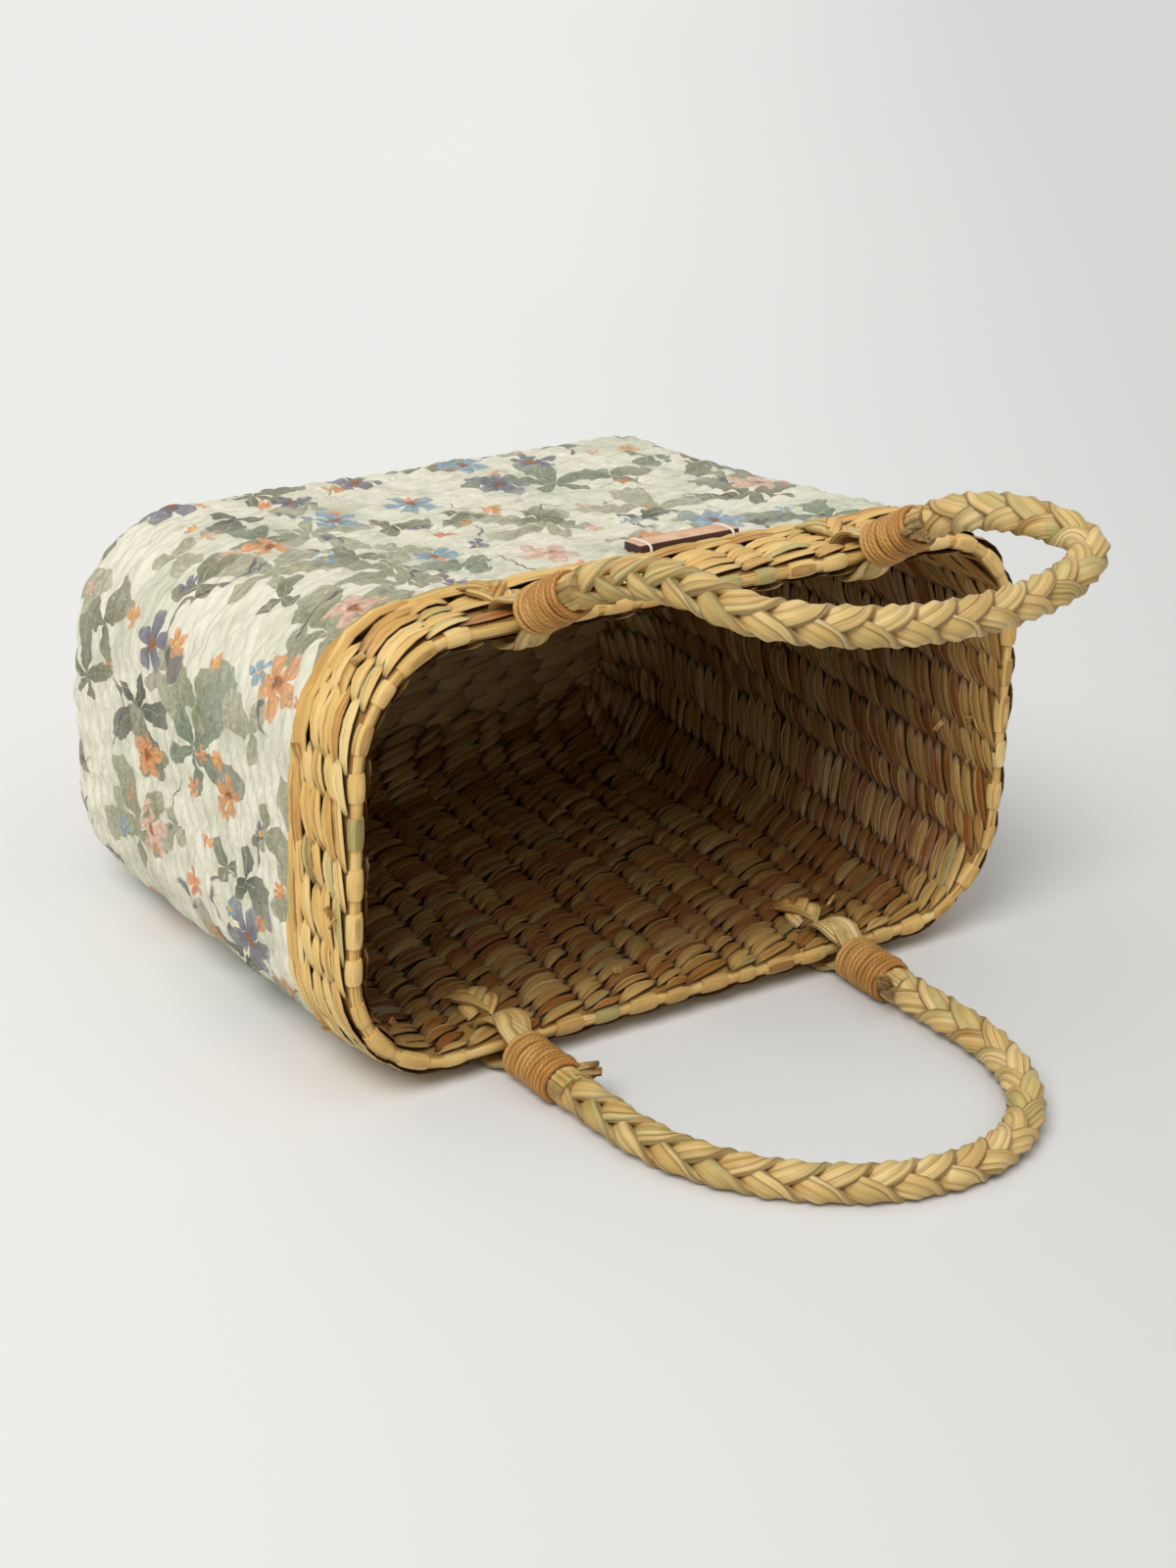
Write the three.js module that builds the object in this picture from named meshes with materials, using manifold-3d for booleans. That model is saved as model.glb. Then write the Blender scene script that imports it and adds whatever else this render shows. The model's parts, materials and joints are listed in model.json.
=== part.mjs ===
// Woven reed basket bag with a glued printed cover, a blank leather tag and two plaited handles.
// Millimetres, +Z up. The basket is drawn standing on its base, then laid on one broad side with its mouth
// towards -Y, and the group is moved so that the middle of its footprint is the origin.
import * as THREE from "three";
import { mergeVertices } from "three/addons/utils/BufferGeometryUtils.js";
import Module from "manifold-3d";

const wasm = await Module();
wasm.setup();

// Basket shell
const RIM_WIDTH = 350;
const RIM_DEPTH = 185;
const BASE_WIDTH = 330;
const BASE_DEPTH = 166;
const BASKET_HEIGHT = 245;
const CORNER_RADIUS = 52;
const BASE_EDGE_RADIUS = 34;
const WALL_THICKNESS = 8;
const BORDER_HEIGHT = 14;
const COURSE_COUNT = 8;
const TOUCH_GAP = 0.3;

// Stakes inside the wall
const STAKE_WIDTH = 6;
const STAKE_THICKNESS = 3;
const LONG_SIDE_STAKES = 7;
const SHORT_SIDE_STAKES = 3;
const SHORT_SIDE_PITCH = 26;

// Printed cover
const COVER_THICKNESS = 0.8;
const BARE_BAND = 40;
const COVER_EDGE_ANGLE = THREE.MathUtils.degToRad(22);

// Leather tag and its two threads
const TAG_LENGTH = 54;
const TAG_HEIGHT = 15;
const TAG_THICKNESS = 2.4;
const TAG_FROM_MIDDLE = 20;
const TAG_BELOW_COVER_EDGE = 2;
const THREAD_RADIUS = 0.6;
const THREAD_FROM_END = 5;

// Handles
const HANDLE_SPREAD = 177;
const HANDLE_FROM_MIDDLE = -6;
const PLAIT_RADIUS = 7.5;
const EYE_WIDTH = 18;
const EYE_THICKNESS = 4;
const EYE_CLEARANCE = 0.4;
const EYE_SIDE_CLEARANCE = 1;
const TAIL_RADIUS = 4.2;
const TAIL_LENGTH = 15;
const TAIL_SPLAY = THREE.MathUtils.degToRad(33);
const LOWER_REACH = 165;
const LOWER_LEG = 78;
const LOWER_LEAN = 12;
const UPPER_REACH = 158;
const UPPER_LEG = 123;
const UPPER_LEAN = 10;
const UPPER_RISE = THREE.MathUtils.degToRad(35.6);
const UPPER_CURL = THREE.MathUtils.degToRad(57.5);

// Lashings that bind each handle end
const LASHING_CORD_RADIUS = 0.95;
const LASHING_PITCH = 2.45;
const LASHING_TURNS = 11;
const LASHING_CLEARANCE = 0.7;
const LASHING_FROM_EYE = 0.5;

// Smoothness of the faceted solids
const CORNER_STEPS = 6;
const EDGE_STEPS = 5;
const EYE_STEPS = 12;
const PLAIT_STEPS = 46;
const PLAIT_SIDES = 10;
const CORD_STEPS_PER_TURN = 12;
const CORD_SIDES = 5;

const COLOURS = {
  reed: 0xd8b06a,
  plait: 0xd2bf86,
  twine: 0xb98246,
  cloth: 0xe2dfcb,
  leather: 0xb98764,
  thread: 0xefeadb,
};
const LOWER = -1;
const UPPER = 1;

const bag = new THREE.Group();
bag.name = "basket_bag";

function addPiece(name, geometry, colour) {
  const material = new THREE.MeshStandardMaterial({ color: colour, roughness: 0.85 });
  const mesh = new THREE.Mesh(geometry, material);
  mesh.name = name;
  bag.add(mesh);
}

function toSolid(geometry) {
  const bare = geometry.clone();
  bare.deleteAttribute("normal");
  bare.deleteAttribute("uv");
  const welded = mergeVertices(bare, 1e-4);
  return new wasm.Manifold(
    new wasm.Mesh({
      numProp: 3,
      vertProperties: new Float32Array(welded.attributes.position.array),
      triVerts: new Uint32Array(welded.index.array),
    }),
  );
}

function toGeometry(solid) {
  const mesh = solid.getMesh();
  const geometry = new THREE.BufferGeometry();
  geometry.setAttribute("position", new THREE.BufferAttribute(new Float32Array(mesh.vertProperties), 3));
  geometry.setIndex(new THREE.BufferAttribute(new Uint32Array(mesh.triVerts), 1));
  return geometry;
}

// Outside width and depth of the flared wall at a height above the base.
function widthAt(height) {
  return THREE.MathUtils.lerp(BASE_WIDTH, RIM_WIDTH, height / BASKET_HEIGHT);
}

function depthAt(height) {
  return THREE.MathUtils.lerp(BASE_DEPTH, RIM_DEPTH, height / BASKET_HEIGHT);
}

// Corner arcs of a rounded rectangle, as one closed loop of points, anticlockwise from above.
function roundedLoop(width, depth, radius, height) {
  const points = [];
  for (let corner = 0; corner < 4; corner += 1) {
    const signX = corner === 0 || corner === 3 ? 1 : -1;
    const signY = corner < 2 ? 1 : -1;
    for (let step = 0; step <= CORNER_STEPS; step += 1) {
      const angle = ((corner + step / CORNER_STEPS) * Math.PI) / 2;
      points.push(
        new THREE.Vector3(
          signX * (width / 2 - radius) + radius * Math.cos(angle),
          signY * (depth / 2 - radius) + radius * Math.sin(angle),
          height,
        ),
      );
    }
  }
  return points;
}

function wallLoop(inset, height) {
  const radius = CORNER_RADIUS - inset;
  return roundedLoop(widthAt(height) - 2 * inset, depthAt(height) - 2 * inset, radius, height);
}

// A closed band round the basket: its section is a loop of [inset, height] pairs, anticlockwise seen with
// the outside of the basket on the right.
function wallBand(section) {
  const loops = section.map(([inset, height]) => wallLoop(inset, height));
  const around = loops[0].length;
  const positions = loops.flat().flatMap((point) => point.toArray());
  const index = [];
  for (let i = 0; i < loops.length; i += 1) {
    const row = i * around;
    const next = ((i + 1) % loops.length) * around;
    for (let j = 0; j < around; j += 1) {
      const k = (j + 1) % around;
      index.push(row + j, row + k, next + k, row + j, next + k, next + j);
    }
  }
  const geometry = new THREE.BufferGeometry();
  geometry.setAttribute("position", new THREE.Float32BufferAttribute(positions, 3));
  geometry.setIndex(index);
  return geometry;
}

// Points of the rounded base edge at a distance outside the weave, from an angle above the base face.
function baseEdgeArc(outside, fromAngle) {
  return Array.from({ length: EDGE_STEPS + 1 }, (_, step) => {
    const angle = THREE.MathUtils.lerp(fromAngle, Math.PI / 2, step / EDGE_STEPS);
    const reach = BASE_EDGE_RADIUS + outside;
    return [BASE_EDGE_RADIUS - reach * Math.sin(angle), BASE_EDGE_RADIUS - reach * Math.cos(angle)];
  });
}

// Base mat, the turned edge round it, the wall courses and the rim border
function roundedPlate(width, depth, radius, thickness) {
  const outline = roundedLoop(width, depth, radius, 0);
  const shape = new THREE.Shape(outline.map((point) => new THREE.Vector2(point.x, point.y)));
  return new THREE.ExtrudeGeometry(shape, { depth: thickness, bevelEnabled: false });
}

const matInset = BASE_EDGE_RADIUS + TOUCH_GAP;
addPiece(
  "base_mat",
  roundedPlate(BASE_WIDTH - 2 * matInset, BASE_DEPTH - 2 * matInset, CORNER_RADIUS - matInset, WALL_THICKNESS),
  COLOURS.reed,
);
addPiece(
  "base_turn",
  wallBand([...baseEdgeArc(0, 0), ...baseEdgeArc(-WALL_THICKNESS, 0).reverse()]),
  COLOURS.reed,
);

const borderBottom = BASKET_HEIGHT - BORDER_HEIGHT;
const wallBottom = BASE_EDGE_RADIUS + TOUCH_GAP;
const coursePitch = (borderBottom - wallBottom) / COURSE_COUNT;
const hingeHeight = BASKET_HEIGHT - BORDER_HEIGHT / 2;
const hingeDepth = depthAt(hingeHeight) / 2 - WALL_THICKNESS / 2;
const eyeInner = BORDER_HEIGHT / 2 + EYE_CLEARANCE;
const eyeOuter = eyeInner + EYE_THICKNESS;

// A straight stake in the middle of the wall, grown on every side by a clearance.
function stakeBar(side, place, clearance) {
  const onLongSide = side.y !== 0;
  const middleAt = (height) => {
    const half = (onLongSide ? depthAt(height) : widthAt(height)) / 2 - WALL_THICKNESS / 2;
    return onLongSide
      ? new THREE.Vector3(place, side.y * half, height)
      : new THREE.Vector3(side.x * half, place, height);
  };
  const foot = middleAt(wallBottom);
  const head = middleAt(borderBottom - TOUCH_GAP);
  const run = new THREE.Vector3().subVectors(head, foot);
  const across = STAKE_WIDTH + 2 * clearance;
  const through = STAKE_THICKNESS + 2 * clearance;
  const length = run.length() + 2 * clearance;
  const bar = onLongSide
    ? new THREE.BoxGeometry(across, through, length)
    : new THREE.BoxGeometry(through, across, length);
  const lean = new THREE.Quaternion().setFromUnitVectors(new THREE.Vector3(0, 0, 1), run.clone().normalize());
  const middle = foot.clone().add(head).multiplyScalar(0.5);
  return bar.applyQuaternion(lean).translate(middle.x, middle.y, middle.z);
}

// The eyes come out midway between two stakes, so the long-side pitch follows from the handle's spread.
const longSidePitch = HANDLE_SPREAD / (LONG_SIDE_STAKES - 2);
const stakePlaces = [LOWER, UPPER].flatMap((sign) => [
  ...Array.from({ length: LONG_SIDE_STAKES }, (_, i) => ({
    side: { x: 0, y: sign },
    place: HANDLE_FROM_MIDDLE + (i - (LONG_SIDE_STAKES - 1) / 2) * longSidePitch,
  })),
  ...Array.from({ length: SHORT_SIDE_STAKES }, (_, i) => ({
    side: { x: sign, y: 0 },
    place: (i - (SHORT_SIDE_STAKES - 1) / 2) * SHORT_SIDE_PITCH,
  })),
]);
stakePlaces.forEach(({ side, place }, i) => {
  addPiece(`stake_${String(i + 1).padStart(2, "0")}`, stakeBar(side, place, 0), COLOURS.reed);
});
const stakeHoles = wasm.Manifold.union(stakePlaces.map(({ side, place }) => toSolid(stakeBar(side, place, TOUCH_GAP))));

// One slot for each handle eye, open at the top edge of the uppermost course.
const slotFloor = hingeHeight - eyeOuter - EYE_CLEARANCE;
const slotHeight = borderBottom - slotFloor;
const eyeSlots = wasm.Manifold.union(
  [LOWER, UPPER].flatMap((side) =>
    [-1, 1].map((end) => {
      const slot = new THREE.BoxGeometry(EYE_WIDTH + 2 * EYE_SIDE_CLEARANCE, 3 * WALL_THICKNESS, slotHeight);
      slot.translate(HANDLE_FROM_MIDDLE + (end * HANDLE_SPREAD) / 2, side * hingeDepth, slotFloor + slotHeight / 2);
      return toSolid(slot);
    }),
  ),
);

for (let i = 0; i < COURSE_COUNT; i += 1) {
  const low = wallBottom + i * coursePitch;
  const high = low + coursePitch - TOUCH_GAP;
  const band = wallBand([
    [0, low],
    [0, high],
    [WALL_THICKNESS, high],
    [WALL_THICKNESS, low],
  ]);
  let course = toSolid(band).subtract(stakeHoles);
  if (i === COURSE_COUNT - 1) course = course.subtract(eyeSlots);
  addPiece(`wall_course_${i + 1}`, toGeometry(course), COLOURS.reed);
}

const borderRound = WALL_THICKNESS / 2;
const roundedEnd = (centre, from) =>
  Array.from({ length: EDGE_STEPS + 1 }, (_, step) => {
    const angle = from + (step / EDGE_STEPS) * Math.PI;
    return [borderRound - borderRound * Math.cos(angle), centre + borderRound * Math.sin(angle)];
  });
addPiece(
  "rim_border",
  wallBand([
    ...roundedEnd(BASKET_HEIGHT - borderRound, 0),
    ...roundedEnd(borderBottom + borderRound, Math.PI),
  ]),
  COLOURS.reed,
);

// Printed cover, from the bare band under the rim down over the base edge
const coverTop = BASKET_HEIGHT - BARE_BAND;
const coverInside = TOUCH_GAP;
const coverOutside = TOUCH_GAP + COVER_THICKNESS;
addPiece(
  "printed_cover",
  wallBand([
    ...baseEdgeArc(coverOutside, COVER_EDGE_ANGLE),
    [-coverOutside, coverTop],
    [-coverInside, coverTop],
    ...baseEdgeArc(coverInside, COVER_EDGE_ANGLE).reverse(),
  ]),
  COLOURS.cloth,
);

// Blank leather tag on the upper broad side, held by a thread arched over each end
const wallSlope = Math.atan((RIM_DEPTH - BASE_DEPTH) / 2 / BASKET_HEIGHT);
const tagHeight = coverTop - TAG_BELOW_COVER_EDGE - TAG_HEIGHT / 2;
const tagBack = depthAt(tagHeight) / 2 + coverOutside / Math.cos(wallSlope);

// Turns a geometry drawn with Y out of the wall and Z up the wall, and sets it on the cover under the rim.
function ontoCover(geometry, along, lift) {
  const out = tagBack + (TOUCH_GAP + lift) / Math.cos(wallSlope);
  return geometry.rotateX(-wallSlope).translate(along, out, tagHeight);
}

addPiece(
  "leather_tag",
  ontoCover(new THREE.BoxGeometry(TAG_LENGTH, TAG_THICKNESS, TAG_HEIGHT), TAG_FROM_MIDDLE, TAG_THICKNESS / 2),
  COLOURS.leather,
);

class ThreadArch extends THREE.Curve {
  getPoint(t, target = new THREE.Vector3()) {
    const angle = Math.PI * t;
    const square = (value) => Math.sign(value) * Math.abs(value) ** 0.5;
    const halfSpan = TAG_HEIGHT / 2 + 3 * THREAD_RADIUS + TOUCH_GAP;
    const rise = TAG_THICKNESS + 2 * THREAD_RADIUS;
    return target.set(0, rise * square(Math.sin(angle)), -halfSpan * square(Math.cos(angle)));
  }
}

function regularShape(radius, sides) {
  const turn = (i) => (i * 2 * Math.PI) / sides;
  return new THREE.Shape(
    Array.from({ length: sides }, (_, i) => new THREE.Vector2(radius * Math.cos(turn(i)), radius * Math.sin(turn(i)))),
  );
}

function tubeAlong(curve, radius, sides, steps) {
  return new THREE.ExtrudeGeometry(regularShape(radius, sides), { steps, extrudePath: curve, bevelEnabled: false });
}

[
  ["tag_thread_left", -1],
  ["tag_thread_right", 1],
].forEach(([name, end]) => {
  const arch = tubeAlong(new ThreadArch(), THREAD_RADIUS, CORD_SIDES, 2 * CORD_STEPS_PER_TURN);
  const along = TAG_FROM_MIDDLE + end * (TAG_LENGTH / 2 - THREAD_FROM_END);
  addPiece(name, ontoCover(arch, along, THREAD_RADIUS), COLOURS.thread);
});

// How the bag lies: the floor touches the lower eyes and the covered base edge.
const edgeCentre = depthAt(BASE_EDGE_RADIUS) / 2 - BASE_EDGE_RADIUS;
const eyeFromEdge = new THREE.Vector2(hingeHeight - BASE_EDGE_RADIUS, hingeDepth - edgeCentre);
const edgeOutside = BASE_EDGE_RADIUS + coverOutside;
const layTilt = eyeFromEdge.angle() + Math.asin((eyeOuter - edgeOutside) / eyeFromEdge.length());
const lowerDrop = Math.asin((eyeOuter - PLAIT_RADIUS) / LOWER_REACH);

// A handle's own axes: across the basket, out of the rim along the bound legs, and away from the basket.
class HandleFrame {
  constructor(side, outAngle) {
    this.hinge = new THREE.Vector3(HANDLE_FROM_MIDDLE, side * hingeDepth, hingeHeight);
    this.out = new THREE.Vector3(0, side * Math.sin(outAngle), Math.cos(outAngle));
    this.away = new THREE.Vector3(0, side * Math.cos(outAngle), -Math.sin(outAngle));
  }

  at(across, out, away) {
    const point = this.hinge.clone().addScaledVector(this.out, out).addScaledVector(this.away, away);
    return point.setX(point.x + across);
  }
}

const lashingStart = eyeOuter + LASHING_FROM_EYE + LASHING_CORD_RADIUS;
const lashingLength = LASHING_TURNS * LASHING_PITCH;
const boundEnd = lashingStart + lashingLength + LASHING_CORD_RADIUS;

// The plait's middle line: a leg, half an ellipse and a leg, curled towards the mouth past the bound ends.
class PlaitCurve extends THREE.Curve {
  constructor(frame, { reach, leg, lean, curl }) {
    super();
    Object.assign(this, { frame, reach, leg, lean, curl });
    this.root = (eyeInner + eyeOuter) / 2;
    this.rise = reach - leg;
    this.arch = Math.PI * Math.hypot(HANDLE_SPREAD / 2, this.rise) * Math.SQRT1_2;
    this.straight = leg - this.root;
  }

  flatPoint(t) {
    const run = t * (2 * this.straight + this.arch);
    const half = HANDLE_SPREAD / 2;
    if (run < this.straight) return [-half, this.root + run];
    if (run > this.straight + this.arch) return [half, this.root + 2 * this.straight + this.arch - run];
    const angle = Math.PI * (1 - (run - this.straight) / this.arch);
    return [half * Math.cos(angle), this.leg + this.rise * Math.sin(angle)];
  }

  getPoint(t, target = new THREE.Vector3()) {
    const [across, out] = this.flatPoint(t);
    const past = Math.max(out - boundEnd, 0);
    const share = past / (this.reach - boundEnd);
    const bend = this.curl * share;
    const along = bend > 0 ? (past * Math.sin(bend)) / bend : past;
    const inward = bend > 0 ? (past * (1 - Math.cos(bend))) / bend : 0;
    const point = this.frame.at(across + this.lean * share ** 2, Math.min(out, boundEnd) + along, -inward);
    return target.copy(point);
  }
}

// One lashing's middle line: close turns round a bound leg, running off straight at both ends.
class LashingCurve extends THREE.Curve {
  constructor(frame, across) {
    super();
    Object.assign(this, { frame, across });
    this.arcLengthDivisions = 2 * LASHING_TURNS * CORD_STEPS_PER_TURN;
    this.radius = PLAIT_RADIUS + LASHING_CLEARANCE + LASHING_CORD_RADIUS;
    this.wound = LASHING_TURNS * Math.hypot(2 * Math.PI * this.radius, LASHING_PITCH);
    this.runOff = 2 * LASHING_CORD_RADIUS;
  }

  onHelix(turn) {
    const angle = 2 * Math.PI * turn;
    return this.frame.at(
      this.across + this.radius * Math.cos(angle),
      lashingStart + turn * LASHING_PITCH,
      this.radius * Math.sin(angle),
    );
  }

  getPoint(t, target = new THREE.Vector3()) {
    const run = t * (this.wound + 2 * this.runOff) - this.runOff;
    const turn = (run / this.wound) * LASHING_TURNS;
    if (turn >= 0 && turn <= LASHING_TURNS) return target.copy(this.onHelix(turn));
    const end = turn < 0 ? 0 : LASHING_TURNS;
    const step = 1e-3;
    const heading = this.onHelix(end + step).sub(this.onHelix(end - step)).normalize();
    const past = turn < 0 ? run : run - this.wound;
    return target.copy(this.onHelix(end).addScaledVector(heading, past));
  }

  // Least clear distance between one turn and any other, over points along the middle line.
  leastGap() {
    const perTurn = 2 * CORD_STEPS_PER_TURN;
    const points = this.getSpacedPoints(LASHING_TURNS * perTurn);
    let least = Infinity;
    for (let i = 0; i < points.length; i += 1) {
      for (let j = i + perTurn / 2; j < points.length; j += 1) {
        least = Math.min(least, points[i].distanceTo(points[j]));
      }
    }
    return least - 2 * LASHING_CORD_RADIUS;
  }
}

// The band of a plait's end that goes through the wall and round the rim border.
function eyeBand(across, frame) {
  const shape = new THREE.Shape().absarc(0, 0, eyeOuter, 0, 2 * Math.PI, false);
  shape.holes.push(new THREE.Path().absarc(0, 0, eyeInner, 0, 2 * Math.PI, true));
  const band = new THREE.ExtrudeGeometry(shape, { depth: EYE_WIDTH, curveSegments: EYE_STEPS, bevelEnabled: false });
  const { x, y, z } = frame.hinge;
  return band.rotateY(Math.PI / 2).translate(x + across - EYE_WIDTH / 2, y, z);
}

// The cut end of the plait, standing out past its lashing on the inner side of the loop.
function tailStub(across, frame) {
  const start = boundEnd + TAIL_RADIUS + TOUCH_GAP;
  const inward = -Math.sign(across);
  const from = frame.at(across, start, 0);
  const to = frame.at(
    across + inward * TAIL_LENGTH * Math.sin(TAIL_SPLAY),
    start + TAIL_LENGTH * Math.cos(TAIL_SPLAY),
    0,
  );
  return tubeAlong(new THREE.LineCurve3(from, to), TAIL_RADIUS, PLAIT_SIDES, 1);
}

function addHandle(label, side, outAngle, loop) {
  const frame = new HandleFrame(side, outAngle);
  const plait = new PlaitCurve(frame, loop);
  const ends = [
    ["left", -HANDLE_SPREAD / 2],
    ["right", HANDLE_SPREAD / 2],
  ];
  const bodies = [tubeAlong(plait, PLAIT_RADIUS, PLAIT_SIDES, PLAIT_STEPS)];
  for (const [, across] of ends) bodies.push(eyeBand(across, frame), tailStub(across, frame));
  addPiece(`${label}_plait`, toGeometry(wasm.Manifold.union(bodies.map(toSolid))), COLOURS.plait);
  for (const [name, across] of ends) {
    const lashing = new LashingCurve(frame, across);
    const steps = LASHING_TURNS * CORD_STEPS_PER_TURN + 2;
    addPiece(`${label}_lashing_${name}`, tubeAlong(lashing, LASHING_CORD_RADIUS, CORD_SIDES, steps), COLOURS.twine);
    console.log(`${label}_lashing_${name}: least gap to itself ${lashing.leastGap().toFixed(2)} mm`);
  }
  console.log(`${label}_plait: length ${plait.getLength().toFixed(0)} mm`);
}

addHandle("lower", LOWER, layTilt + lowerDrop, {
  reach: LOWER_REACH,
  leg: LOWER_LEG,
  lean: LOWER_LEAN,
  curl: 0,
});
addHandle("upper", UPPER, UPPER_RISE - layTilt, {
  reach: UPPER_REACH,
  leg: UPPER_LEG,
  lean: UPPER_LEAN,
  curl: UPPER_CURL,
});

// Lay the bag down and put the middle of its footprint at the origin.
bag.rotation.x = Math.PI / 2 - layTilt;
bag.updateMatrixWorld(true);
const box = new THREE.Box3().setFromObject(bag, true);
const middle = box.getCenter(new THREE.Vector3());
bag.position.set(-middle.x, -middle.y, -box.min.z);
bag.updateMatrixWorld(true);
const hingeAt = (side) => bag.localToWorld(new THREE.Vector3(HANDLE_FROM_MIDDLE, side * hingeDepth, hingeHeight));
console.log("lower hinge", hingeAt(LOWER).toArray(), "upper hinge", hingeAt(UPPER).toArray());
console.log("tilt of the basket", THREE.MathUtils.radToDeg(layTilt).toFixed(2), "degrees");

const group = new THREE.Group();
group.add(bag);
export default group;
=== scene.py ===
"""Woven reed basket bag lying on its side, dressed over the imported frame."""
import json
import logging
import math
from dataclasses import dataclass, field, replace
from enum import Enum, IntEnum
from itertools import product
from typing import Callable, Iterable, Sequence

import bmesh
import bpy
import numpy as np
from mathutils import Matrix, Vector


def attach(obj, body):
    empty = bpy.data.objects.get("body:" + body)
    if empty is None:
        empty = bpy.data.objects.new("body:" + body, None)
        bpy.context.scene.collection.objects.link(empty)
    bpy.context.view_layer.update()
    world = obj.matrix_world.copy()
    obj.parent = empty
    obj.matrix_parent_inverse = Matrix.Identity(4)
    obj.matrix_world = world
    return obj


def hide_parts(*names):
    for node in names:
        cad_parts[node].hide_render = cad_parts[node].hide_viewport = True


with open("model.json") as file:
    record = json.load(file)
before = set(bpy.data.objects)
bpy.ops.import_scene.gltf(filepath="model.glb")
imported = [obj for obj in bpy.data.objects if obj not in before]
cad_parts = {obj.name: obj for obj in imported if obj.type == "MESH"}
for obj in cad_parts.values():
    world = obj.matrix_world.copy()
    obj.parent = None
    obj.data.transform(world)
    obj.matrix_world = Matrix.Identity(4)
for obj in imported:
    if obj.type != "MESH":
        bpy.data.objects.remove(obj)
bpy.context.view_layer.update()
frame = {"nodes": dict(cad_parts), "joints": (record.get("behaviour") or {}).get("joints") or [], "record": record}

Array = np.ndarray
Piece = bpy.types.Object
Material = bpy.types.Material
Socket = bpy.types.NodeSocket
Colour = tuple[float, float, float, float]
Triple = tuple[float, float, float]
Span = tuple[float, float]
Stops = tuple[tuple[float, Colour], ...]

LOG = logging.getLogger("basket_bag")
PHOTO_HEIGHT = 1600
SENSOR = 36.0
TAU = 2.0 * math.pi
WHITE: Colour = (1.0, 1.0, 1.0, 1.0)
TONE_SEEDS = 1000
# Edges sharper than these angles, in degrees, stay sharp.
WEAVE_ANGLE = 75.0
PLAIT_ANGLE = 70.0
STRAND_ANGLE = 60.0
EVEN_ANGLE = 50.0
TAG_ANGLE = 40.0
CLOTH_ANGLE = 180.0
# A direction that no swept strand runs along.
SIDEWAYS = (0.31, 0.52, 0.79)
# How the handles lie: the lower one rests on the floor, the upper one is raised and curled, in degrees.
PLAIT_RADIUS = 0.0075
LOWER_REACH = 0.165
UPPER_RAISED = 35.6
UPPER_CURL = 57.5
# Shares of the way along a plait, and how far it has turned about itself there, in degrees.
LOWER_ROLLS = (
    (0.0, 132.0), (0.3, 122.0), (0.5, 131.0), (0.6, 156.0), (0.7, 206.0), (0.8, 231.0), (1.0, 234.0),
)
UPPER_ROLLS = (
    (0.0, 77.0), (0.1, 85.0), (0.25, 116.0), (0.5, 139.0), (0.62, 154.0), (0.7, 197.0), (0.78, 244.0),
    (0.9, 274.0), (1.0, 281.0),
)


class Face(Enum):
    """The two faces of the woven wall."""

    INSIDE = "inside"
    OUTSIDE = "outside"


class Side(Enum):
    """The two broad sides that carry a handle, as the bag lies."""

    LOWER = -1
    UPPER = 1


class Seed(IntEnum):
    """Starting numbers of the small differences between copies."""

    STRANDS = 5
    INSIDE = 11
    RELIEF = 17
    BAND = 31
    EYES = 40
    EDGING = 41
    BASE_EDGE = 51
    BASE = 61
    RIM = 71
    TUCKS = 81
    TAILS = 90
    CUT_ENDS = 97
    LASHING = 200
    SLEEVE = 300


def srgb(red: float, green: float, blue: float) -> Colour:
    """Turn a colour read in 0 to 255 into the linear colour a socket takes.

    Args:
        red: Red level.
        green: Green level.
        blue: Blue level.

    Returns:
        Linear red, green, blue and an alpha of 1.
    """
    linear = [
        level / 12.92 if level <= 0.04045 else ((level + 0.055) / 1.055) ** 2.4
        for level in (red / 255, green / 255, blue / 255)
    ]
    return (linear[0], linear[1], linear[2], 1.0)


def smooth(value: Array, low: float, high: float) -> Array:
    """Ease from 0 at low to 1 at high."""
    share = np.clip((value - low) / (high - low), 0.0, 1.0)
    return share * share * (3.0 - 2.0 * share)


def draws(seed: int) -> np.random.Generator:
    """Start the draws of one piece."""
    return np.random.default_rng(int(seed))


def unit(vectors: Array) -> Array:
    """Scale rows of vectors to a length of 1."""
    return vectors / np.linalg.norm(vectors, axis=1, keepdims=True)


def run_along(path: Array) -> Array:
    """Distances along a path from its first point."""
    return np.concatenate([[0.0], np.cumsum(np.linalg.norm(np.diff(path, axis=0), axis=1))])


# Places on the basket


class StandingFrame:
    """Axes of the basket as it stands on its base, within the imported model's frame."""

    rest_height: float = 0.0006
    pressed: float = 0.94

    def __init__(self, record: dict) -> None:
        """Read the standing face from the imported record.

        Args:
            record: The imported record.
        """
        mount = next(m for m in record["mounts"] if m["name"] == "standing_face")
        up = -np.array(mount["axis"])
        across = np.array([1.0, 0.0, 0.0])
        self.origin = np.array(mount["pos_m"])
        self.axes = np.stack([across, np.cross(up, across), up])

    def to_world(self, points: Array) -> Array:
        """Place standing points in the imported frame."""
        return self.origin + points @ self.axes

    def settled(self, points: Array) -> Array:
        """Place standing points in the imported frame, pressed flat where they rest on the floor.

        Args:
            points: Standing points.

        Returns:
            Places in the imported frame.
        """
        placed = self.to_world(points)
        low = self.rest_height - placed[..., 2]
        placed[..., 2] += np.where(low > 0.0, self.pressed * low, 0.0)
        return placed

    def to_standing(self, points: Array) -> Array:
        """Read packed-frame points in standing axes."""
        return (points - self.origin) @ self.axes.T


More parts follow.
